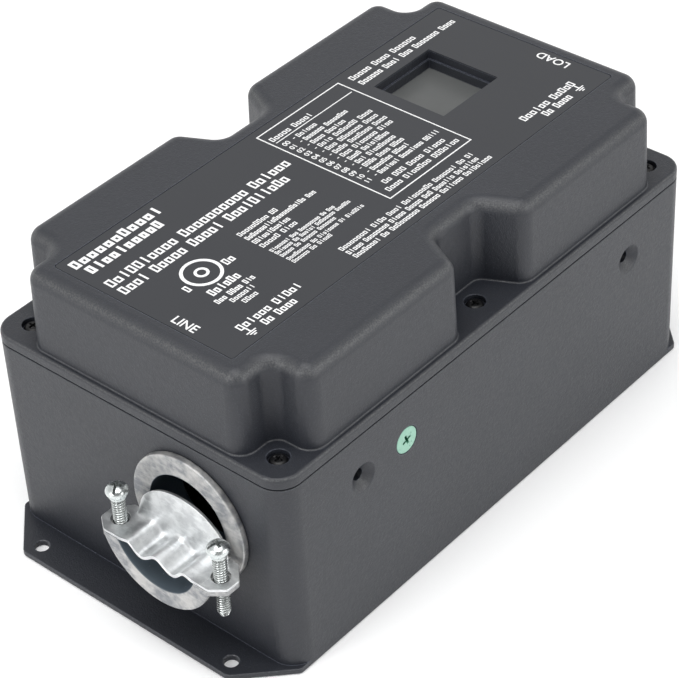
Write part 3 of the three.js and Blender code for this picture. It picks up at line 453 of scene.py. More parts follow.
def shell():
    """Moulded plastic: slight clouding, a fine spark-eroded grain, edges lighter by wear and painted
    highlight, painted highlights on rounded rims and painted shade in hollows.
    """
    tone, roughness = (0.0195, 0.0215, 0.0275), 0.42
    look = Finish("shell")
    fine = look.noise(0.55, detail=2.0)
    coarse = look.noise(1.5, detail=2.0)
    cloud = look.noise(45, detail=2.0)
    colour = look.mix(cloud, scaled(tone, 0.86), scaled(tone, 1.14))
    colour = look.mix(look.remap(fine, 0.55, 0.72, 0.0, 0.5), colour, scaled(tone, 2.4))
    # Painted highlight: the rounded rims, between upright and level, are painted a lighter grey in speckled
    # patches.
    spark = look.remap(look.noise(0.6, detail=2.0), 0.4, 0.66, 0.25, 1.0)
    rims = look.math("MULTIPLY", look.leaning(), spark)
    colour = look.mix(rims, colour, (0.08, 0.082, 0.084))
    # Painted highlight and wear: edges are painted lighter in uneven patches, partly wear and partly a
    # painted sheen.
    uneven_patches = look.remap(fine, 0.35, 0.65, 0.1, 0.8)
    edge_wear_and_sheen = look.math("MULTIPLY", look.edges(0.9, low=0.004, high=0.12), uneven_patches)
    look.set("Base Color", look.mix(edge_wear_and_sheen, colour, scaled(tone, 5.5)))
    look.set("Roughness", look.remap(coarse, 0.3, 0.7, roughness - 0.04, roughness + 0.05))
    # Painted shade: the specular level drops in the piece's own hollows, darkening them.
    look.set("Specular IOR Level", look.remap(look.hollows(14), 0.35, 0.85, 0.1, 0.5))
    look.soften_edges(0.25)
    look.bump(coarse, 0.105)
    look.bump(fine, 0.135)
    return look.done()


def grained(slot, size, dark, bright, gloss, relief, detail=3.0, edge=None, stretch=None, soften=0.0,
            metallic=0.0, coat=0.0):
    """One grain through tone, roughness and relief. edge is (radius, tone), gloss a value or a range."""
    look = Finish(slot)
    grain = look.noise(size, detail, place=look.stretched(stretch) if stretch else None)
    tone = look.mix(grain, dark, bright)
    if edge:
        tone = look.mix(look.edges(edge[0]), tone, edge[1])
    look.set("Base Color", tone)
    look.set("Roughness", look.remap(grain, 0.3, 0.7, *gloss) if isinstance(gloss, tuple) else gloss)
    look.set("Metallic", metallic)
    look.set("Coat Weight", coat)
    if soften:
        look.soften_edges(soften)
    look.bump(grain, relief)
    return look.done()


def label_film():
    look = Finish("label_film")
    fine = look.noise(0.25, detail=2.0)
    cloud = look.noise(70, detail=1.0)
    look.set("Base Color", look.mix(cloud, (0.020, 0.0215, 0.026), (0.026, 0.028, 0.033)))
    look.set("Roughness", look.remap(fine, 0.3, 0.7, 0.40, 0.44))
    look.bump(fine, 0.004)
    return look.done()


def window():
    look = Finish("window")
    cloud = look.noise(14, detail=2.0)
    dust = look.noise(0.5, detail=2.0)
    tone = look.mix(cloud, (0.092, 0.097, 0.096), (0.118, 0.121, 0.120))
    look.set("Base Color", look.mix(look.remap(dust, 0.68, 0.8, 0.0, 0.25), tone, (0.3, 0.3, 0.29)))
    look.set("Roughness", look.remap(dust, 0.3, 0.7, 0.3, 0.36))
    look.bump(cloud, 0.02)
    return look.done()


def cast_metal(slot, dull, bright, gloss, bore=False):
    """Die-cast zinc: blotchy, satin, with flow marks, pits and brighter edges. Its bore is painted dark and
    not metallic, as painted shade.
    """
    look = Finish(slot)
    blotch = look.noise(7, detail=4.0, roughness=0.6)
    flow = look.noise(2.2, detail=3.0, place=look.stretched((1, 0.35, 1)))
    fine = look.noise(0.35, detail=2.0)
    pits = look.remap(look.cells(1.7), 0.05, 0.16, 1.0, 0.0)
    tone = look.mix(look.remap(blotch, 0.38, 0.62, 0.0, 1.0), dull, bright)
    tone = look.mix(look.remap(flow, 0.5, 0.7, 0.0, 0.6), tone, scaled(bright, 1.2))
    tone = look.mix(look.math("MULTIPLY", pits, 0.3), tone, scaled(dull, 0.5))
    tone = look.mix(look.edges(0.35), tone, scaled(bright, 1.35))
    metallic = 0.9
    if bore:
        # Painted shade: the bore is painted a dark blue-grey, not metallic, with lighter specks, where the
        # metal lies in shadow.
        inside = look.inside_bore()
        specks = look.remap(look.cells(2.6), 0.05, 0.09, 0.5, 0.0)
        tone = look.mix(inside, tone, look.mix(specks, (0.075, 0.098, 0.12), (0.45, 0.47, 0.48)))
        metallic = look.remap(inside, 0.0, 1.0, 0.9, 0.0)
    look.set("Base Color", tone)
    look.set("Metallic", metallic)
    look.set("Roughness", look.remap(blotch, 0.3, 0.7, gloss, gloss + 0.16))
    look.soften_edges(0.3)
    look.bump(flow, 0.06)
    look.bump(fine, 0.02)
    look.bump(pits, -0.03)
    return look.done()


def plated_steel():
    """Bright zinc plate, with painted shade: darker and less metallic down in the threads and slots."""
    look = Finish("plated_steel")
    cloud = look.noise(2.5, detail=3.0)
    lines = look.noise(0.5, detail=2.0)
    tone = look.mix(cloud, (0.56, 0.60, 0.61), (0.74, 0.77, 0.75))
    tone = look.mix(look.edges(0.2), tone, (0.9, 0.91, 0.9))
    # Painted shade: the hollows of threads and slots are painted dark grey and made less metallic.
    open_face = look.remap(look.hollows(1.2), 0.5, 0.95, 0.0, 1.0)
    look.set("Base Color", look.mix(open_face, (0.15, 0.16, 0.155), tone))
    look.set("Metallic", look.remap(open_face, 0.0, 1.0, 0.5, 1.0))
    look.set("Roughness", look.remap(cloud, 0.3, 0.7, 0.2, 0.34))
    look.bump(lines, 0.008)
    return look.done()


def green_steel():
    """Green dyed plate: pale where the face catches light, with painted shade: dark green down in the cross.
    """
    look = Finish("green_steel")
    cloud = look.noise(1.5, detail=3.0)
    face = box_mm("load_ground_screw")[1].y
    out = look.math("ABSOLUTE", look.along("Y"))
    # Painted shade: the green is painted dark below the face, down in the cross.
    down = look.remap(out, (face - 0.5) * MM, (face - 0.1) * MM, 1.0, 0.0)
    tone = look.mix(cloud, (0.24, 0.47, 0.36), (0.33, 0.56, 0.45))
    look.set("Base Color", look.mix(down, tone, (0.015, 0.16, 0.085)))
    look.set("Metallic", 0.35)
    look.set("Roughness", look.remap(cloud, 0.3, 0.7, 0.26, 0.38))
    look.soften_edges(0.15)
    look.bump(cloud, 0.01)
    return look.done()


def winding_tape():
    """Amber wrapping tape: overlapped bands with a glossy, slightly wrinkled face."""
    look = Finish("winding_tape")
    laps = look.waves(4.5, "Z", twist=0.4)
    wrinkle = look.noise(1.6, detail=3.0, place=look.stretched((1, 1, 3)))
    tone = look.mix(laps, (0.42, 0.23, 0.035), (0.62, 0.38, 0.07))
    look.set("Base Color", look.mix(look.remap(wrinkle, 0.55, 0.8, 0.0, 0.4), tone, (0.75, 0.55, 0.2)))
    look.set("Roughness", look.remap(wrinkle, 0.3, 0.7, 0.22, 0.4))
    look.soften_edges(0.5)
    look.bump(laps, 0.12)
    look.bump(wrinkle, 0.05)
    return look.done()


def brushed_metal(slot, dull, bright):
    look = Finish(slot)
    brushed = look.noise(0.7, detail=3.0, place=look.stretched((0.12, 1, 1)))
    stain = look.noise(9, detail=3.0)
    tone = look.mix(look.remap(stain, 0.35, 0.7, 0.0, 1.0), bright, dull)
    look.set("Base Color", look.mix(look.edges(0.3), tone, scaled(bright, 1.2)))
    look.set("Metallic", 1.0)
    look.set("Roughness", look.remap(brushed, 0.3, 0.7, 0.22, 0.38))
    look.soften_edges(0.25)
    look.bump(brushed, 0.015)
    return look.done()


def circuit_board():
    """Green solder mask over copper tracks, with glass weave showing faintly."""
    look = Finish("circuit_board")
    weave = look.math("MULTIPLY", look.waves(0.6, "X"), look.waves(0.6, "Y"))
    blocks = look.add("ShaderNodeTexBrick", {"Vector": look.place, "Scale": 110.0, "Mortar Size": 0.035,
                      "Color1": (0, 0, 0), "Color2": (0, 0, 0), "Mortar": (1, 1, 1)}).outputs[0]
    pour = look.remap(look.cells(17), 0.35, 0.4, 0.0, 0.5)
    tone = look.mix(weave, (0.006, 0.075, 0.03), (0.01, 0.10, 0.042))
    tone = look.mix(pour, tone, (0.02, 0.17, 0.07))
    look.set("Base Color", look.mix(look.math("MULTIPLY", blocks, 0.6), tone, (0.05, 0.27, 0.11)))
    look.set("Roughness", 0.3)
    look.bump(blocks, 0.05)
    look.bump(weave, 0.01)
    return look.done()


def ribbon_jacket():
    look = Finish("ribbon_jacket")
    ribs = look.waves(1.27, "Y")
    dust = look.noise(1.0)
    tone = look.mix(dust, (0.26, 0.265, 0.28), (0.34, 0.345, 0.36))
    # Painted shade: the grooves between the ribs are painted darker.
    look.set("Base Color", look.mix(look.remap(ribs, 0.0, 0.35, 0.6, 0.0), tone, (0.09, 0.09, 0.10)))
    look.set("Roughness", 0.5)
    look.bump(ribs, 0.3)
    return look.done()


def white_ink():
    """Printed ink: near white, slightly uneven where the film's grain shows through."""
    look = Finish("white_ink")
    wear = look.noise(0.8, detail=3.0)
    uneven_patches = look.remap(wear, 0.6, 0.85, 0.0, 0.25)
    look.set("Base Color", look.mix(uneven_patches, (0.82, 0.82, 0.82), (0.5, 0.5, 0.5)))
    look.set("Roughness", 0.55)
    look.bump(wear, 0.004)
    return look.done()


# The frame's own flat materials hold the plain names, so Blender adds a number after a dot to these.
FINISHES = {material.name.partition(".")[0]: material for material in (
    shell(), label_film(), window(), plated_steel(), green_steel(), winding_tape(), circuit_board(),
    ribbon_jacket(), white_ink(),
    cast_metal("cast_zinc", (0.25, 0.26, 0.275), (0.53, 0.525, 0.515), 0.42, bore=True),
    cast_metal("pressed_zinc", (0.56, 0.575, 0.585), (0.75, 0.765, 0.77), 0.3),
    brushed_metal("copper", (0.45, 0.20, 0.11), (0.80, 0.42, 0.27)),
    brushed_metal("terminal_brass", (0.48, 0.34, 0.13), (0.78, 0.60, 0.28)),
    grained("gasket", 0.4, (0.006, 0.006, 0.007), (0.016, 0.016, 0.018), gloss=0.85, relief=0.06, detail=2.0),
    grained("black_steel", 0.5, (0.003, 0.003, 0.0035), (0.009, 0.009, 0.01), gloss=(0.3, 0.45), relief=0.01,
            edge=(0.25, (0.035, 0.035, 0.038)), soften=0.12, metallic=0.3),
    grained("tinned_aluminium", 0.8, (0.5, 0.5, 0.49), (0.72, 0.72, 0.7), gloss=(0.3, 0.5), relief=0.02,
            stretch=(0.15, 1, 1), soften=0.3, metallic=1.0),
    grained("phenolic", 0.8, (0.02, 0.017, 0.013), (0.05, 0.042, 0.032), gloss=(0.42, 0.6), relief=0.03,
            detail=4.0, edge=(0.6, (0.12, 0.105, 0.085)), soften=0.5),
    grained("blue_coating", 1.8, (0.025, 0.10, 0.33), (0.05, 0.17, 0.48), gloss=0.2, relief=0.08, detail=2.0,
            soften=0.8, coat=0.5),
    grained("red_insulation", 0.9, (0.42, 0.035, 0.03), (0.58, 0.07, 0.055), gloss=(0.35, 0.5), relief=0.02),
    grained("dark_lens", 3, (0.012, 0.011, 0.012), (0.028, 0.022, 0.022), gloss=(0.1, 0.28), relief=0.02,
            soften=0.3, coat=0.4))}


def finished(piece, name, body, slot=None, stands_for=None, crease=32, look=None):
    """The piece in metres, smooth shaded, painted and riding on its CAD body. A piece that stands for a CAD
    node hides it, and takes its slot unless another is given."""
    slot = slot or SLOT_OF[stands_for]
    mesh = piece.data
    mesh.transform(Matrix.Scale(MM, 4))
    mesh.shade_smooth()
    mesh.set_sharp_from_angle(angle=math.radians(crease))
    mesh.materials.clear()
    mesh.materials.append(FINISHES[look or slot])
    piece.name = name
    mesh.name = name
    normals = piece.modifiers.new("even_normals", "WEIGHTED_NORMAL")
    normals.keep_sharp = True
    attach(piece, body)
    if stands_for:
        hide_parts(stands_for)


# ---- the tub ----
def mounting_flange():
    wall, side = -BOX_L / 2, BOX_W / 2
    tip = FLANGE_ROOT_Y - (FLANGE_OUT + wall)
    bend = wall + side - FLANGE_ROOT_Y
    inner = wall + CORNER_R
    half = [(inner, side, 0.6), (bend, side, 3), (-FLANGE_OUT, tip, 4)]
    corners = half + [(x, -y, r) for x, y, r in reversed(half)]
    x, y, r = FLANGE_HOLE
    lip = [(0, -1), (r, -1), (r, FLANGE_T - 0.4), (r + 0.5, FLANGE_T + 0.1), (r + 0.5, FLANGE_T + 1),
           (0, FLANGE_T + 1)]
    holes = [turned(lip, "z", (-x, way * y, 0), 40) for way in (-1, 1)]
    return combined(slab(corner_arcs(corners), 0, FLANGE_T, edge=0.45, steps=8), cut=holes)


def side_bores():
    """What is bored through the -Y wall: two countersunk holes and the ground screw's seat."""
    face = -BOX_W / 2
    far = WALL + SIDE_HOLE["boss_t"] + 1
    mouth, r, cone = SIDE_HOLE["mouth"], SIDE_HOLE["r"], SIDE_HOLE["cone"]
    profile = [(0, -1), (mouth + 0.6, -1), (mouth + 0.6, -0.05), (mouth, 0.25), (r, cone), (r, far), (0, far)]
    screw = middle_mm("line_ground_screw")
    head = (box_mm("line_ground_screw")[1].x - box_mm("line_ground_screw")[0].x) / 2
    seat = [(0, -1), (head + 0.5, -1), (head + 0.5, 0), (head + 0.3, 0.2), (head + 0.3, 0.5), (2.6, 2.7),
            (2.6, far), (0, far)]
    cutters = [turned(profile, "y", (x, face, SIDE_HOLE["z"])) for x in SIDE_HOLES_X]
    return cutters + [turned(seat, "y", (screw.x, face, screw.z))]


def side_bosses():
    wall = -BOX_W / 2 + WALL
    boss, depth = SIDE_HOLE["boss"], SIDE_HOLE["boss_t"]
    return [rod(boss, -1, depth, "y", (x, wall, SIDE_HOLE["z"]), edge=0.6) for x in SIDE_HOLES_X]


def lid_screw_spots():
    return [middle_mm(f"lid_screw_{n}") for n in range(1, 7)]


POST_R = 6
PILOT_R = 2.4
PILOT_Z = 78


def screw_posts():
    posts = []
    for spot in lid_screw_spots():
        wall = math.copysign(BOX_W / 2 - WALL / 2, spot.y)
        y = sorted((spot.y, wall))
        posts.append(rod(POST_R, FLOOR - 1, SEAM_Z, "z", (spot.x, spot.y, 0), segments=40))
        posts.append(block((spot.x - WALL / 2, spot.x + WALL / 2), y, (FLOOR - 1, SEAM_Z - 0.2)))
    return posts


def staked_posts(board, inset, r, low):
    """Posts under a board's corners, each with a pin melted over into a dome above it."""
    (x0, y0, z0), (x1, y1, z1) = box_mm(board)
    posts = []
    for x in (x0 + inset, x1 - inset):
        for y in (y0 + inset, y1 - inset):
            dome = [(1.5, z1 + 0.08), (2.9, z1 + 0.08), (2.7, z1 + 0.8), (1.6, z1 + 1.5), (0, z1 + 1.7)]
            profile = [(0, low), (r, low), (r, z0 - 0.05), (1.5, z0 - 0.05), *dome]
            posts.append(turned(softened(profile, 0.3), "z", (x, y, 0), 32))
    return posts


def plate_pins():
    """The two floor pins melted over the contactor's plate."""
    (x0, y0, _), (x1, y1, z1) = box_mm("contactor_plate")
    dome = [(1.5, z1 + 0.08), (2.9, z1 + 0.08), (2.6, z1 + 0.9), (1.4, z1 + 1.4), (0, z1 + 1.5)]
    profile = [(0, FLOOR - 1), (1.6, FLOOR - 1), *dome]
    return [turned(profile, "z", (x, (y0 + y1) / 2, 0), 32) for x in (x0 + 4, x1 - 4)]


def base_tub():
    walls = rectangle(BOX_L, BOX_W, CORNER_R)
    body = slab(walls, 0, SEAM_Z, edge=0.5, steps=14)
    hollow = slab(walls, FLOOR, SEAM_Z + 5, inset=WALL, steps=14)
    hole = [rod(NIPPLE_R + 0.3, -WALL - 1, WALL + 1, "x", (-BOX_L / 2, CLAMP.y, CLAMP.z), segments=96)]
    bosses, bores, flange = side_bosses(), side_bores(), mounting_flange()
    turned_round = [twin(tool, LOAD_END) for tool in bosses]
    cutters = hole + bores
    cutters += [twin(tool, LOAD_END) for tool in cutters]
    cutters += [rod(PILOT_R, PILOT_Z, SEAM_Z + 1, "z", (s.x, s.y, 0), segments=32) for s in lid_screw_spots()]
    combined(body, cut=[hollow])
    inner = screw_posts() + staked_posts("main_board", 6, 3.5, FLOOR - 1) + plate_pins()
    combined(body, add=[flange, twin(flange, LOAD_END), *inner, *bosses, *turned_round], cut=cutters)
    finished(body, "base_tub_moulding", "enclosure", stands_for="base_tub")


# ---- the lid ----
def plateau_arcs():
    """The plateau's outline: one quadrant's corners, mirrored into the other three."""
    a, b, notch_x, notch_y, mouth, floor = PLATEAU.values()
    out, back_in = PLATEAU_CONVEX, PLATEAU_CONCAVE
    quadrant = [(a, notch_y, out), (notch_x, notch_y, back_in), (notch_x, b, out), (mouth, b, out),
                (floor, notch_y, back_in)]
    back = quadrant[::-1]
    corners = quadrant + [(-x, y, r) for x, y, r in back]
    corners += [(-x, -y, r) for x, y, r in quadrant] + [(x, -y, r) for x, y, r in back]
    return corner_arcs(corners)


def plateau(arcs):
    """The raised part: a fillet at its foot, drafted walls, and a broad rounding round the top."""
    layers = [(-FOOT_FILLET, DECK_Z - 1)]
    layers += [(-FOOT_FILLET * i, DECK_Z + FOOT_FILLET * (1 - o)) for i, o in reversed(quarter(4))]
    layers += [(DRAFT + EDGE_R * i, TOP_Z - EDGE_R * (1 - o)) for i, o in quarter(12)]
    return loft([(outline(arcs, inset, PLATEAU_STEPS), z) for inset, z in layers])


def plateau_hollow(arcs):
    roof = TOP_Z - WALL - 0.2
    layers = [(WALL, LID_Z - 1), (WALL + DRAFT, roof - 4), (5.0, roof - 1.5), (7.3, roof)]
    return loft([(outline(arcs, inset, PLATEAU_STEPS), z) for inset, z in layers])


def lid_deck():
    arcs = rectangle(BOX_L, BOX_W, CORNER_R)
    layers = [(0.35, LID_Z), (0.1, LID_Z + 0.1), (0, LID_Z + 0.35)]
    layers += [(DECK_EDGE_R * i, DECK_Z - DECK_EDGE_R * (1 - o)) for i, o in quarter(7)]
    return loft([(outline(arcs, inset, 14), z) for inset, z in layers])


LID_SCREW_SEAT = DECK_Z - 2.6


def lid_screw_bore(spot):
    wide, lip = 4.6, 0.35
    profile = [(0, LID_Z - 1), (2.4, LID_Z - 1), (2.4, LID_SCREW_SEAT), (wide, LID_SCREW_SEAT),
               (wide, DECK_Z - lip),
               (wide + lip * 0.3, DECK_Z - lip * 0.3), (wide + lip, DECK_Z + 0.01), (wide + lip, DECK_Z + 2),
               (0, DECK_Z + 2)]
    return turned(profile, "z", (spot.x, spot.y, 0), 48)


def display_middle():
    return (PANE_LOW.x + PANE_HIGH.x) / 2, (PANE_LOW.y + PANE_HIGH.y) / 2


def display_span(grow):
    """The display opening's ranges in x and y, grown by grow on each side."""
    x, y = display_middle()
    half_x, half_y = DISPLAY_HALF[0] + grow, DISPLAY_HALF[1] + grow
    return (x - half_x, x + half_x), (y - half_y, y + half_y)


def hanging_posts():
    (x0, y0, z0), (x1, y1, z1) = box_mm("display_board")
    roof = TOP_Z - WALL
    profile = [(0, z0 - 1.6), (1.6, z0 - 1.5), (2.6, z0 - 0.9), (2.8, z0 - 0.08), (1.5, z0 - 0.08),
               (1.5, z1 + 0.05), (2.5, z1 + 0.05), (2.5, roof), (0, roof)]
    return [turned(profile, "z", (x, y, 0), 32) for x in (x0 + 4, x1 - 4) for y in (y0 + 4, y1 - 4)]


def lid():
    arcs = plateau_arcs()
    body = combined(lid_deck(), add=[plateau(arcs)], cut=[plateau_hollow(arcs)])
    collar = block(*display_span(3 - DISPLAY_LEDGE), (PANE_HIGH.z + 0.05, TOP_Z - WALL), corner=1)
    length, width, r, depth = LABEL.values()
    bay = slab(rectangle(length, width, r), TOP_Z - depth, TOP_Z + 2, steps=6)
    wide = block(*display_span(0), (DISPLAY_LEDGE_Z, TOP_Z + 1), corner=0.3)
    narrow = block(*display_span(-DISPLAY_LEDGE), (PANE_LOW.z, DISPLAY_LEDGE_Z + 1), corner=0.3)
    bores = [lid_screw_bore(spot) for spot in lid_screw_spots()]
    combined(body, add=[collar, *hanging_posts()], cut=[bay, wide, narrow, *bores])
    finished(body, "lid_moulding", "lid_unit", stands_for="lid")


# ---- screws ----
def lid_screws():
    """Black self-tapping screws with pan heads and cross recesses."""
    for n, spot in enumerate(lid_screw_spots(), 1):
        node = f"lid_screw_{n}"
        low, high = box_mm(node)
        seat = LID_SCREW_SEAT + 0.05
        profile = [(0, seat - 0.6), (1.9, seat - 0.6), (1.9, seat), (3.9, seat), (3.9, seat + 0.9),
                   (2.7, high.z), (0, high.z)]
        head = turned(softened(profile, 0.7), "z", (spot.x, spot.y, 0), 48)
        shank = threaded(1.95, 1.6, low.z, seat - 0.3, (spot.x, spot.y, 0), sides=28, point=4)
        recess = cross(4.2, 1.15, 1.5, "z", (spot.x, spot.y, high.z - 0.1))
        screw = combined(head, add=[shank], cut=[recess])
        finished(screw, f"{node}_turned", "lid_unit", stands_for=node, crease=40)


CLAMP_SCREW_TURNS = {"line_clamp_screw_a": 0.5, "line_clamp_screw_b": -0.5, "load_clamp_screw_a": 1.3,
                     "load_clamp_screw_b": 0.1}


def clamp_screw(node):
    """A ball-shaped combination head on a small collar, over a machine thread."""
    low, high = box_mm(node)
    at = ((low.x + high.x) / 2, (low.y + high.y) / 2, 0)
    top, r = high.z, (high.x - low.x) / 2
    collar, shank = 3.6, 2.95
    profile = [(0, top - 7), (shank - 0.2, top - 7), (collar, top - 6.5), (collar, top - 5.5),
               (r * 0.8, top - 5),
               (r * 0.95, top - 4.2), (r, top - 3.2), (r * 0.95, top - 2.2), (r * 0.8, top - 1.2),
               (r * 0.55, top - 0.5), (r * 0.28, top - 0.1), (0, top)]
    head = turned(softened(profile, 0.6), "z", at, 64)
    thread = threaded(shank, 1.27, low.z, top - 6, at)
    turn = Matrix.Rotation(CLAMP_SCREW_TURNS[node], 4, "Z")
    long_cut = block((-r * 1.2, r * 1.2), (-0.6, 0.6), (-1.7, 2))
    slot = moved(long_cut, Matrix.Translation((*at[:2], top)) @ turn)
    star = moved(cross(5.4, 1.3, 2.2, "z", (0, 0, 0)), Matrix.Translation((*at[:2], top - 0.2)) @ turn)
    return combined(head, add=[thread], cut=[slot, star])


def ground_screw():
    """A flat countersunk head with a cross recess, at the line end."""
    low, high = box_mm("line_ground_screw")
    at = (middle_mm("line_ground_screw").x, low.y, middle_mm("line_ground_screw").z)
    outwards = Matrix.Rotation(math.pi / 2, 4, "X")
    r = (high.x - low.x) / 2
    length = high.y - low.y
    profile = [(0, 0), (r - 0.25, 0), (r, 0.2), (r, 0.4), (2.3, 2.4), (2.0, 2.6), (0, 2.6)]
    head = turned(profile, "y", at, 72)
    shank = moved(threaded(2.3, 0.9, 0, length - 2.2, (0, 0, 0), sides=32, point=1.2),
                  Matrix.Translation((at[0], at[1] + length, at[2])) @ outwards)
    star = moved(cross(5.4, 1.25, 1.7, "z", (0, 0, 0)),
                 Matrix.Translation(at) @ outwards @ Matrix.Rotation(0.35, 4, "Z"))
    return combined(head, add=[shank], cut=[star])


# ---- the cable clamp, at the line end ----
def ear_arcs(side, inner):
    spots = [(LIP_X + 0.2, inner, 0.3), (LIP_X + 0.2, 28.6, 2), (LIP_X + 5, EAR_REACH, 2),
             (-145.8, EAR_REACH, 2), (EAR_BACK_X, 28.4, 1.2), (EAR_BACK_X, inner, 0.3)]
    if side > 0:
        spots.reverse()
    return corner_arcs([(x, CLAMP.y + side * d, r) for x, d, r in spots])


def screw_axis(side):
    spot = middle_mm("line_clamp_screw_a" if side > 0 else "line_clamp_screw_b")
    return spot.x, spot.y, 0


def connector_body():
    """The spool: a front lip, an open trough, the flange against the wall, and the nipple through it."""
    back = -BOX_L / 2 - 0.05
    inner = THROAT_R + 1.4
    profile = [(inner, LIP_X), (RING_R, LIP_X), (RING_R, LIP_X + 2.6), (TROUGH_R, LIP_X + 2.6),
               (TROUGH_R, RING_FACE_X), (RING_R, RING_FACE_X), (RING_R, back), (NIPPLE_R, back),
               (NIPPLE_R, NIPPLE_END_X), (THROAT_R, NIPPLE_END_X), (THROAT_R, RING_FACE_X)]
    spool = turned(softened(profile, 0.75, closed=True), "x", (0, CLAMP.y, CLAMP.z), 128, closed=True)
    reach = RING_R + 1
    over = block((LIP_X - 1, RING_FACE_X), (CLAMP.y - reach, CLAMP.y + reach), (EAR_TOP, CLAMP.z + reach))
    ears = [slab(ear_arcs(side, THROAT_R + 2), EAR_TOP - 2.2, EAR_TOP, edge=0.35, steps=5)
            for side in (-1, 1)]
    bores = [rod(3.3, EAR_TOP - 20, EAR_TOP + 1, "z", screw_axis(side), segments=40) for side in (-1, 1)]
    return combined(combined(spool, cut=[over]), add=ears, cut=bores)


def strip_wave(dy):
    """Height of the strap's gripping face above its ears: a hump between two valleys."""
    knots = [(0, 0.7), (8.5, -3.5), (15.5, 1), (20.5, 0), (RING_R, 0)]
    d = min(abs(dy), RING_R - 1e-6)
    for (d0, h0), (d1, h1) in zip(knots, knots[1:]):
        if d <= d1:
            return h0 + (h1 - h0) * (1 - math.cos(math.pi * (d - d0) / (d1 - d0))) / 2
    return 0.0


HOOD = {"foot": -142.7, "edge": -140.5, "half": 24.4, "rise": 19.7}


def sharp_strap_point(along, dy):
    """A point on the strap's upper face: 0 to 1 crosses the gripping strip, 1 to 2 climbs the hood."""
    strip, rise = min(along, 1), max(along - 1, 0)
    arch = HOOD["rise"] * math.sqrt(max(0, 1 - (dy / HOOD["half"]) ** 2))
    x = LIP_X + 0.3 + strip * (HOOD["foot"] - LIP_X - 0.3) + rise * (HOOD["edge"] - HOOD["foot"])
    return Vector((x, CLAMP.y + dy, EAR_TOP + STRAP_T + strip_wave(dy) * (1 - rise) + arch * rise))


def strap_point(along, dy):
    """The same with the crease between strip and hood rounded."""
    before, after = 1 - 0.13, 1 + 0.1
    if not before < along < after:
        return sharp_strap_point(along, dy)
    t = (along - before) / (after - before)
    start, bend, end = (sharp_strap_point(at, dy) for at in (before, 1, after))
    return start * (1 - t) ** 2 + bend * 2 * t * (1 - t) + end * t * t


def strap_step(along, dy):
    """The step from the strap's upper face to its lower one."""
    step, reach = 0.01, HOOD["half"] - 1
    if abs(dy) > reach:
        return Vector((0, 0, -STRAP_T))
    total = Vector((0, 0, 0))
    for at in (max(along, step), min(along, 2 - step)):
        across = strap_point(at, dy + step) - strap_point(at, dy - step)
        onward = strap_point(min(at + step, 2), dy) - strap_point(max(at - step, 0), dy)
        total += onward.cross(across).normalized()
    return total.normalized() * -STRAP_T


def strap_sheet():
    rows = [k / 10 for k in range(9)]
    rows += [0.87 + 0.23 * k / 8 for k in range(9)]
    rows += [1.2 + 0.8 * k / 9 for k in range(10)]
    columns = 96
    dys = [-HOOD["half"] * math.cos(math.pi * j / columns) for j in range(columns + 1)]
    upper = [strap_point(along, dy) for along in rows for dy in dys]
    lower = [p + strap_step(along, dy) for p, (along, dy) in zip(upper, ((a, d) for a in rows for d in dys))]
    wide, count = len(dys), len(upper)
    faces = []
    for i in range(len(rows) - 1):
        for j in range(columns):
            a = i * wide + j
            faces.append((a, a + wide, a + wide + 1, a + 1))
            faces.append((a + count, a + count + 1, a + count + wide + 1, a + count + wide))
        for j in (0, columns):
            a = i * wide + j
            faces.append((a, a + count, a + wide + count, a + wide))
    for j in range(columns):
        for a in (j, (len(rows) - 1) * wide + j):
            faces.append((a, a + 1, a + 1 + count, a + count))
    return solid(upper + lower, faces)


def clamp_strap():
    low, high = EAR_TOP + 0.04, EAR_TOP + STRAP_T - 0.04
    ears = [slab(ear_arcs(side, HOOD["half"] - 1.5), low, high, edge=0.2, steps=5) for side in (-1, 1)]
    bores = [rod(4.1, low - 1, high + 1, "z", screw_axis(side), segments=48) for side in (-1, 1)]
    return combined(strap_sheet(), add=ears, cut=bores)


def locknut():
    low, high = box_mm("line_connector_locknut")
    at = (0, CLAMP.y, CLAMP.z)
    ring = rod(RING_R, low.x, high.x, "x", at, edge=0.5, segments=96)
    notches = []
    for k in range(6):
        angle = (k + 0.5) * math.pi / 3
        spot = (0, CLAMP.y + RING_R * math.cos(angle), CLAMP.z + RING_R * math.sin(angle))
        notches.append(rod(3.2, low.x - 1, high.x + 1, "x", spot, segments=24))
    hole = rod(NIPPLE_R + 0.3, low.x - 1, high.x + 1, "x", at, segments=96)
    return combined(ring, cut=[hole, *notches])


def cable_ends():
    """The clamp, nut and ground screw at both ends."""
    fixed = (("connector_body", connector_body(), "enclosure", "cast_zinc"),
             ("connector_locknut", locknut(), "enclosure", "cast_zinc"),
             ("clamp_strap", clamp_strap(), "{}_strap", "pressed_zinc"),
             ("ground_screw", ground_screw(), "{}_ground", "green_steel"))
    for end, place in ENDS.items():
        for name, model, body, look in fixed:
            node = f"{end}_{name}"
            piece = twin(model, place)
            finished(piece, f"{node}_made", body.format(end), stands_for=node, crease=40, look=look)
        for letter in "ab":
            node = f"{end}_clamp_screw_{letter}"
            body = f"{end}_screw_{letter}"
            finished(clamp_screw(node), f"{node}_made", body, stands_for=node, crease=40)
    for _, model, _, _ in fixed:
        bpy.data.objects.remove(model)


# ---- the label's print: rows of frames and stems in place of words, with numbers and plain symbols ----
INK_LOW = box_mm("label_overlay")[1].z + 0.004
INK_HIGH = INK_LOW + 0.03


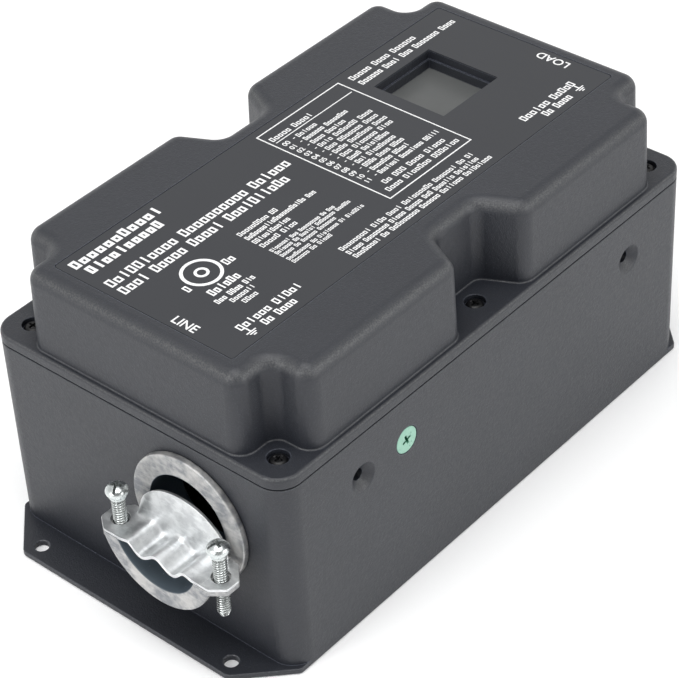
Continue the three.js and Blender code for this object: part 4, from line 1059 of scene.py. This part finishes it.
class Print:
    """Gathers thin printed shapes into one mesh."""

    def __init__(self):
        self.vertices = []
        self.faces = []
        self.dice = random.Random(11)

    def prism(self, points):
        start, count = len(self.vertices), len(points)
        self.vertices += [(x, y, INK_LOW) for x, y in points] + [(x, y, INK_HIGH) for x, y in points]
        self.faces.append(tuple(range(start + count - 1, start - 1, -1)))
        self.faces.append(tuple(range(start + count, start + 2 * count)))
        for i in range(count):
            a, b = start + i, start + (i + 1) % count
            self.faces.append((a, b, b + count, a + count))

    def bar(self, x0, x1, y0, y1):
        self.prism([(x0, y0), (x1, y0), (x1, y1), (x0, y1)])

    def words(self, x0, x1, top, height, letters, weight=0.17):
        """A line of greeked words: a small frame or stem for each letter, the given number in each word."""
        pitch = (x1 - x0) / (sum(letters) + 0.8 * (len(letters) - 1))
        stroke = weight * height
        x = x0
        for count in letters:
            for k in range(count):
                throw = self.dice.random()
                high = top if k == 0 or throw < 0.25 else top - height * 0.26
                if k and throw < 0.14:
                    self.bar(x + pitch * 0.3, x + pitch * 0.3 + stroke, top - height, high)
                else:
                    self.frame(x, x + pitch * 0.78, top - height, high, stroke)
                x += pitch
            x += pitch * 0.8

    def column(self, left, height, *lines):
        """Lines of words under each other, each given as its right end, its top and its letters."""
        for right, top, letters in lines:
            self.words(left, right, top, height, letters)

    def ring(self, x, y, outer, inner, steps=64):
        turns = [2 * math.pi * k / steps for k in range(steps)]
        loops = ([(x + r * math.cos(t), y + r * math.sin(t)) for t in turns] for r in (outer, inner))
        self.ring_of(*loops)

    def ring_of(self, outer, inner):
        """A flat ring between two loops of points."""
        start, count = len(self.vertices), len(outer)
        for z in (INK_LOW, INK_HIGH):
            for loop in (outer, inner):
                self.vertices += [(x, y, z) for x, y in loop]
        low_out, low_in, high_out, high_in = (start + count * k for k in range(4))
        for i in range(count):
            j = (i + 1) % count
            self.faces.append((low_out + j, low_out + i, low_in + i, low_in + j))
            self.faces.append((high_out + i, high_out + j, high_in + j, high_in + i))
            self.faces.append((low_out + i, low_out + j, high_out + j, high_out + i))
            self.faces.append((low_in + j, low_in + i, high_in + i, high_in + j))

    def frame(self, x0, x1, y0, y1, t):
        outer = [(x0, y0), (x1, y0), (x1, y1), (x0, y1)]
        inner = [(x0 + t, y0 + t), (x1 - t, y0 + t), (x1 - t, y1 - t), (x0 + t, y1 - t)]
        self.ring_of(outer, inner)

    def text(self, text, height, matrix):
        """Generic text in the built-in face, added as a flat closed shape."""
        curve = bpy.data.curves.new("text", "FONT")
        curve.body = text
        curve.size = height / 0.7
        curve.offset = height * 0.018
        curve.extrude = (INK_HIGH - INK_LOW) / 2
        holder = bpy.data.objects.new("text", curve)
        bpy.context.scene.collection.objects.link(holder)
        bpy.context.view_layer.update()
        mesh = holder.to_mesh()
        start = len(self.vertices)
        lift = Matrix.Translation((0, 0, (INK_LOW + INK_HIGH) / 2))
        self.vertices += [tuple(lift @ matrix @ v.co) for v in mesh.vertices]
        self.faces += [tuple(start + i for i in face.vertices) for face in mesh.polygons]
        holder.to_mesh_clear()
        bpy.data.objects.remove(holder)


def flat_place(x, y, turn=0.0):
    return Matrix.Translation((x, y, 0)) @ Matrix.Rotation(math.radians(turn), 4, "Z")


def earth_symbol(ink, x, y):
    """The usual earth sign: a stem over three shrinking bars."""
    ink.bar(x - 0.35, x + 0.35, y, y + 2.6)
    for k, half in enumerate((2.6, 1.7, 0.8)):
        ink.bar(x - half, x + half, y - 0.6 - 1.1 * k, y - 1.1 * k)


def heading_print(ink):
    ink.words(-118, -67.5, 44.6, 5.4, (11,), weight=0.24)
    ink.words(-116, -74, 37.4, 5.4, (10,), weight=0.24)
    ink.words(-117.7, -10.8, 24.7, 5.3, (10, 10, 6))
    ink.words(-117.7, -19.6, 17.4, 5.3, (4, 5, 5, 10))
    ink.text("LINE", 4.4, flat_place(-119.3, -13, -90))
    ink.text("LOAD", 4.4, flat_place(119.2, -28.5, 90))


def approval_print(ink):
    """Two plain rings, one in the other, with greeked words round them."""
    x, y = -89.2, -1.75
    ink.ring(x, y, 8.9, 7.4)
    ink.ring(x, y, 3.2, 1.9)
    ink.words(x - 12.6, x - 9.8, y - 0.8, 4.2, (1,))
    ink.words(x + 9.8, x + 15.6, y - 0.8, 4.2, (2,))
    lines = ((8.4, -10, 4.4, (6,)), (10.9, -16.4, 3, (3, 4, 3)), (6.6, -20.6, 2.6, (7,)),
             (4, -24.6, 2.6, (4,)))
    for half, drop, height, letters in lines:
        ink.words(x - half, x + half, y + drop, height, letters)


def notes_print(ink):
    left = -62.3
    ink.column(left, 2.7, (-39.2, 4.5, (9, 2)), (-20.4, 0.3, (21, 3)), (-40.8, -3.7, (12,)),
               (-41, -7.8, (5, 4)))
    ink.column(left, 2.1, (-23.75, -13.2, (8, 3, 9, 2, 3)), (-17.1, -15.9, (7, 2, 6, 8, 6)),
               (-29.4, -18.7, (5, 2, 6, 7)), (-16, -22.2, (9, 2, 8, 2, 7)), (-39, -25, (6, 2, 5)))


def table_print(ink):
    """A framed table: a heading, twelve numbered rows, and two more lines of words."""
    ink.frame(-6.3, 47.2, -29.7, 44.3, 0.6)
    ink.words(-4, 22.1, 39.3, 3.1, (5, 5))
    ink.bar(-4, 45.2, 34.5, 35)
    rows = ((17.5, (6,)), (32.9, (7, 8)), (26.7, (4, 6)), (39.6, (4, 7, 4)), (38.5, (3, 7, 4)),
            (39.6, (4, 7, 4)), (38.5, (3, 7, 4)), (31, (4, 9)), (30.4, (3, 9)), (31, (4, 4, 4)),
            (29.3, (7, 5)), (44.2, (7, 8, 5)))
    for k, (right, letters) in enumerate(rows):
        y = 31.3 - 4.1 * k
        ink.text(f"{k:02d}", 2.6, flat_place(-3.4, y - 1.3))
        ink.bar(2.9, 4, y - 0.25, y + 0.2)
        ink.words(5.4, right, y + 1.35, 2.7, letters)
    ink.words(1, 40.7, -18.4, 2.9, (2, 3, 4, 5))
    ink.words(-2.3, 44.2, -23.1, 2.9, (4, 7, 7))


def rating_print(ink):
    ink.words(52.5, 96.3, 43.3, 3.4, (5, 4, 6))
    ink.words(52.5, 117.5, 37.7, 3.4, (6, 4, 3, 7, 4))
    for x0, x1 in ((-107.1, -71), (71.5, 107.9)):
        middle = (x0 + x1) / 2
        ink.words(x0, x1, -35.6, 3.9, (6, 5))
        ink.words(middle - 9.4, middle + 9.4, -40.7, 3.9, (2, 4))
        earth_symbol(ink, middle + (16 if x0 > 0 else -16), -42.2)
    ink.column(-45, 2.6, (39.6, -34.6, (9, 4, 4, 9, 7, 2, 2)), (38.2, -38.4, (5, 8, 5, 5, 3, 7, 8)),
               (42.5, -42, (8, 2, 9, 6, 7, 9)))


def label_print():
    ink = Print()
    for part in (heading_print, approval_print, notes_print, table_print, rating_print):
        part(ink)
    sheet = solid(ink.vertices, ink.faces)
    finished(sheet, "label_print", "lid_unit", "label_film", look="white_ink")


# ---- inside the box ----
def pan_screw(node, head_t, length, turn=0.6):
    """A slotted pan-head screw with its thread, standing where the CAD one does."""
    low, high = box_mm(node)
    at = (*middle_mm(node)[:2], 0)
    r, top = (high.x - low.x) / 2, high.z
    shank = r * 0.54
    seat = top - head_t
    profile = [(0, seat - 0.4), (shank * 0.9, seat - 0.4), (shank * 0.9, seat), (r, seat),
               (r, seat + head_t * 0.5), (r * 0.7, top), (0, top)]
    head = turned(softened(profile, 0.8), "z", at, 48)
    thread = threaded(shank, 0.9, seat - length, seat - 0.2, at, sides=28, point=1)
    slot = moved(block((-r * 1.3, r * 1.3), (-0.5, 0.5), (-1.1, 2)),
                 Matrix.Translation((*at[:2], top)) @ Matrix.Rotation(turn, 4, "Z"))
    return combined(head, add=[thread], cut=[slot])


def inner_screws():
    for nodes, head_t, length, turn in (
            ([f"{end}_terminal_screw_{n}" for end in ENDS for n in (1, 2)], 2.6, 9, 0.6),
            (["neutral_screw_1", "neutral_screw_2"], 2.4, 8, 0.2),
            (["line_lug_screw", "load_lug_screw"], 2.4, 15, 1.1)):
        for node in nodes:
            screw = pan_screw(node, head_t, length, turn)
            finished(screw, f"{node}_made", "enclosure", stands_for=node)


def coil():
    """The contactor's bobbin with its taped winding, lapped in turns."""
    low, high = box_mm("contactor_coil")
    x, flange = (low.x + high.x) / 2, (high.x - low.x) / 2
    bore, cheek, laps = 6.2, 2, 11
    bottom, top = low.z + cheek, high.z - cheek
    lap = (top - bottom) / laps
    winding = []
    for k in range(laps):
        z = bottom + lap * k
        winding += [(flange - 2.35, z), (flange - 1.95, z + lap * 0.2), (flange - 1.9, z + lap * 0.75)]
    profile = [(bore, low.z), (flange, low.z), (flange, bottom), *winding, (flange - 2.3, top), (flange, top),
               (flange, high.z), (bore, high.z)]
    body = turned(softened(profile, 0.3, steps=2, closed=True), "z", (x, 0, 0), 96, closed=True)
    finished(body, "coil_wound", "enclosure", stands_for="contactor_coil")


def transformer():
    """A stack of core sheets with a taped winding standing out on both faces."""
    (x0, y0, z0), (x1, y1, z1) = box_mm("power_transformer")
    middle, half_core, sheets, gap = (x0 + x1) / 2, 11, 16, 0.12
    core_y = ((y0 + y1) / 2 - half_core, (y0 + y1) / 2 + half_core)
    core = block((x0, x1), core_y, (z0, z1), corner=0.4)
    gaps = []
    for k in range(1, sheets):
        y = core_y[0] + (core_y[1] - core_y[0]) * k / sheets
        for x, z in (((x0 - 1, x1 + 1), (z1 - 0.3, z1 + 1)), ((x0 - 1, x0 + 0.3), (z0 + 1, z1 - 1)),
                     ((x1 - 0.3, x1 + 1), (z0 + 1, z1 - 1))):
            gaps.append(block(x, (y - gap, y + gap), z))
    combined(core, cut=gaps)
    finished(core, "transformer_core", "enclosure", "black_steel", "power_transformer")
    for name, y in (("front", (y0, core_y[0] - 0.05)), ("back", (core_y[1] + 0.05, y1))):
        half = block((middle - 13, middle + 13), y, (z0 + 6, z1 - 6), edge=1.6, corner=3)
        finished(half, f"transformer_winding_{name}", "enclosure", "winding_tape")


def varistors():
    """Dipped discs, swollen at the middle, on two leads each."""
    lead_r, lead_y = 0.5, 4
    for node in ("surge_varistor_1", "surge_varistor_2", "surge_varistor_3"):
        low, high = box_mm(node)
        x, y, r = (low.x + high.x) / 2, (low.y + high.y) / 2, (high.y - low.y) / 2
        z, half = high.z - r, (high.x - low.x) / 2
        profile = [(0, -half), (r * 0.75, -half * 0.92), (r, -half * 0.35), (r, half * 0.35),
                   (r * 0.75, half * 0.92), (0, half)]
        disc = turned(softened(profile, 1.4, steps=6), "x", (x, y, z), 72)
        dip = softened([(0, -2.5), (0.8, -2.5), (1.7, 1.5), (0, 1.5)], 0.5)
        leads = [rod(lead_r, low.z, z - r * 0.7, "z", (x, y + way * lead_y, 0), segments=16)
                 for way in (-1, 1)]
        dips = [turned(dip, "z", (x, y + way * lead_y, z - r * 0.86), 24) for way in (-1, 1)]
        body = combined(disc, add=leads + dips)
        finished(body, f"{node}_dipped", "enclosure", stands_for=node, crease=50)


def current_sensors():
    """Ring sensors with rounded cases, on a foot."""
    bore_r = 9
    for node in ("current_sensor_1", "current_sensor_2"):
        low, high = box_mm(node)
        y, r = (low.y + high.y) / 2, (high.y - low.y) / 2
        z, t = high.z - r, high.x - low.x
        profile = softened([(bore_r, 0), (r, 0), (r, t), (bore_r, t)], 1.6, steps=6, closed=True)
        ring = turned(profile, "x", (low.x, y, z), 96, closed=True)
        foot = block((low.x + 0.01, high.x - 0.01), (y - 10, y + 10), (low.z, low.z + 8), edge=0.6)
        hole = rod(bore_r + 0.3, -1, t + 1, "x", (low.x, y, z), segments=96)
        body = combined(ring, add=[combined(foot, cut=[hole])])
        finished(body, f"{node}_cased", "enclosure", stands_for=node)


def capacitor(x, y, r, height, low):
    """An electrolytic capacitor: sleeve with a rolled groove near its foot and a dished, scored top."""
    groove, top = low + 3, low + height
    profile = [(0, low), (r, low), (r, groove - 0.7), (r - 0.7, groove), (r, groove + 0.7), (r, top),
               (r - 1.2, top), (r - 1.3, top - 0.5), (0, top - 0.5)]
    can = turned(softened(profile, 0.5), "z", (x, y, 0), 56)
    scores = [moved(block((-r * 0.7, r * 0.7), (-0.15, 0.15), (-0.3, 1)),
                    Matrix.Translation((x, y, top - 0.5)) @ Matrix.Rotation(turn, 4, "Z"))
              for turn in (0, math.pi / 2)]
    return combined(can, cut=scores)


def resistor(y, sit):
    """A small resistor lying along X, with end caps and bent leads."""
    x, lift, body_r, wire_r = 100, 1.8, 1.3, 0.35
    waist = [(body_r, -2), (1.05, -1.6), (1.05, 1.6), (body_r, 2)]
    profile = softened([(0, -3.4), (body_r, -3.4), *waist, (body_r, 3.4), (0, 3.4)], 0.4)
    body = turned(profile, "x", (x, y, sit + lift), 32)
    wire = turned([(0, -5.2), (wire_r, -5.2), (wire_r, 5.2), (0, 5.2)], "x", (x, y, sit + lift), 16)
    pins = [rod(wire_r, sit, sit + 2.1, "z", (x + way * 4.9, y, 0), segments=16) for way in (-1, 1)]
    return combined(body, add=[wire, *pins])


def chip(sit):
    """A chip on seven legs a side."""
    body = block((93, 106), (33, 41), (sit + 0.6, sit + 3.4), edge=0.25, corner=0.3)
    legs = [block((93.8 + 1.9 * k, 94.6 + 1.9 * k), y, (sit, sit + 1.9))
            for k in range(7) for y in ((32, 33.3), (40.7, 42))]
    return combined(body, add=legs)


def board_details():
    """Small parts on the main board: capacitors, a relay, a chip and a row of resistors."""
    sit = box_mm("main_board")[1].z + 0.05
    cans = ((58, -46, 8, 24), (77, -46, 8, 24), (66, -31.5, 4, 12))
    for k, (x, y, r, height) in enumerate(cans, 1):
        finished(capacitor(x, y, r, height, sit), f"board_capacitor_{k}", "enclosure", "dark_lens")
    relay = block((87, 101.5), (-56, -41), (sit, sit + 15), edge=0.7, corner=1)
    finished(relay, "board_relay", "enclosure", "phenolic")
    finished(chip(sit), "board_chip", "enclosure", "dark_lens")
    for k, y in enumerate((-33, -28, -23, -18), 1):
        finished(resistor(y, sit), f"board_resistor_{k}", "enclosure", "blue_coating")


# ---- carried-over CAD nodes ----
ROUND_WIRES = ("return_spring", "coil_lead_1", "coil_lead_2")
BEVEL_WIDTHS = {
    0.08: ("label_overlay",),
    0.1: ("lid_gasket",),
    0.15: ("main_board", "display_board"),
    0.25: ("ribbon_cable",),
    0.3: ("contactor_plate", "contact_bridge_1", "contact_bridge_2", "ribbon_header", "line_terminal_1",
          "line_terminal_2", "load_terminal_1", "load_terminal_2"),
    0.4: ("display_window", "contactor_core", "armature_plunger", "digit_display"),
    0.5: ("contactor_housing", "neutral_bar"),
    0.6: ("contact_carrier", "line_ground_lug", "load_ground_lug"),
}
WELD_GAP = 0.00001


def dress_cad_nodes():
    """Gives every CAD node its slot's finish, rounds the wires, and softens the edges of those listed in
    BEVEL_WIDTHS.
    """
    for node, slot in SLOT_OF.items():
        piece = frame["nodes"][node]
        piece.data.materials.clear()
        piece.data.materials.append(FINISHES[slot])
    for node in ROUND_WIRES:
        smooth = frame["nodes"][node].modifiers.new("round", "SUBSURF")
        smooth.levels = smooth.render_levels = 1
    for width, nodes in BEVEL_WIDTHS.items():
        for node in nodes:
            bevelled(frame["nodes"][node], width)


def bevelled(piece, width):
    weld = piece.modifiers.new("weld", "WELD")
    weld.merge_threshold = WELD_GAP
    bevel = piece.modifiers.new("soft_edges", "BEVEL")
    bevel.width = width * MM
    bevel.segments = 2
    bevel.limit_method = "ANGLE"
    bevel.angle_limit = math.radians(40)
    bevel.harden_normals = True


# ---- stage, light and camera ----
CAMERA = {"azimuth": -46.978, "elevation": 38.467, "roll": -3.636, "distance": 1046.27,
          "target": (-25.227, -8.254, 72.718), "lens": 130.64, "shift": (0.0160, -0.0070)}


def camera():
    azimuth, elevation, roll = (math.radians(CAMERA[k]) for k in ("azimuth", "elevation", "roll"))
    reach = math.cos(elevation)
    out = Vector((math.sin(azimuth) * reach, -math.cos(azimuth) * reach, math.sin(elevation)))
    level = (-out).cross(Vector((0, 0, 1))).normalized()
    upright = level.cross(-out)
    right = level * math.cos(roll) + upright * math.sin(roll)
    up = upright * math.cos(roll) - level * math.sin(roll)
    data = bpy.data.cameras.new("camera")
    data.lens = CAMERA["lens"]
    data.sensor_width = 36
    data.shift_x, data.shift_y = CAMERA["shift"]
    data.clip_end = 20
    holder = bpy.data.objects.new("camera", data)
    holder.matrix_world = Matrix((right, up, out)).transposed().to_4x4()
    holder.location = (Vector(CAMERA["target"]) + out * CAMERA["distance"]) * MM
    bpy.context.scene.collection.objects.link(holder)
    bpy.context.scene.camera = holder


def area_light(name, at, towards, size, power, tint=(1, 1, 1)):
    data = bpy.data.lights.new(name, "AREA")
    data.shape = "RECTANGLE"
    data.size, data.size_y = size
    data.energy = power
    data.color = tint
    holder = bpy.data.objects.new(name, data)
    holder.location = at
    holder.rotation_euler = (Vector(towards) - Vector(at)).to_track_quat("-Z", "Y").to_euler()
    bpy.context.scene.collection.objects.link(holder)


STUDIO = {"low": 1.1, "high": 0.66, "behind_camera": 0.35}


def surroundings():
    """A white studio: plain white to the camera; to the object, bright round the horizon, dimmer overhead,
    and darkest behind the camera, which gives the metal something to show."""
    world = bpy.data.worlds.new("studio")
    world.use_nodes = True
    bpy.context.scene.world = world
    nodes, links = world.node_tree.nodes, world.node_tree.links

    def add(kind, inputs, operation=None):
        node = nodes.new(kind)
        if operation:
            node.operation = operation
        for key, value in inputs.items():
            if isinstance(value, bpy.types.NodeSocket):
                links.new(value, node.inputs[key])
            else:
                node.inputs[key].default_value = value
        return node

    place = nodes.new("ShaderNodeTexCoord").outputs["Generated"]
    height = add("ShaderNodeSeparateXYZ", {0: place}).outputs["Z"]
    by_height = add("ShaderNodeMapRange", {"Value": height, "From Min": 0.2, "From Max": 0.6,
                    "To Min": STUDIO["low"], "To Max": STUDIO["high"]}).outputs[0]
    facing = add("ShaderNodeVectorMath", {0: place, 1: (-0.57, -0.53, 0.62)}, "DOT_PRODUCT").outputs["Value"]
    dim = add("ShaderNodeMapRange", {"Value": facing, "From Min": 0.6, "From Max": 0.9, "To Min": 1.0,
              "To Max": STUDIO["behind_camera"]}).outputs[0]
    seen = add("ShaderNodeMath", {0: by_height, 1: dim}, "MULTIPLY").outputs[0]
    ray = nodes.new("ShaderNodeLightPath").outputs["Is Camera Ray"]
    strength = add("ShaderNodeMix", {0: ray, 2: seen, 3: 1.0}).outputs[0]
    links.new(strength, nodes["Background"].inputs["Strength"])
    nodes["Background"].inputs["Color"].default_value = (1, 1, 1, 1)


def floor():
    half = 4.0
    mesh = bpy.data.meshes.new("floor")
    corners = [(-half, -half, 0), (half, -half, 0), (half, half, 0), (-half, half, 0)]
    mesh.from_pydata(corners, [], [(0, 1, 2, 3)])
    sheet = bpy.data.objects.new("floor", mesh)
    sheet.location.z = -0.0003
    bpy.context.scene.collection.objects.link(sheet)
    look = Finish("floor")
    look.set("Base Color", look.mix(look.noise(300, detail=2.0), (0.90, 0.90, 0.90), (0.93, 0.93, 0.93)))
    look.set("Roughness", 0.9)
    look.set("Emission Color", (0.97, 0.985, 1.0))
    away = look.add("ShaderNodeVectorMath", {0: look.place}, operation="LENGTH").outputs["Value"]
    seen = look.add("ShaderNodeLightPath").outputs["Is Camera Ray"]
    far = look.math("MULTIPLY", look.remap(away, 0.45, 1.1, 0.0, 0.5), seen)
    look.set("Emission Strength", look.math("ADD", far, 0.12))
    mesh.materials.append(look.done())


def studio():
    surroundings()
    floor()
    area_light("overhead", (-0.25, -0.15, 1.4), (0, 0, 0.1), (1.1, 1.1), 12)
    area_light("front_left", (-1.3, 0.1, 0.75), (-0.1, 0, 0.06), (0.6, 0.5), 6)
    area_light("front_right", (0.35, -1.4, 0.7), (0, 0, 0.06), (0.9, 0.4), 6)
    bpy.context.scene.view_settings.view_transform = "Standard"


dress_cad_nodes()
base_tub()
lid()
lid_screws()
cable_ends()
label_print()
inner_screws()
coil()
transformer()
varistors()
current_sensors()
board_details()
camera()
studio()
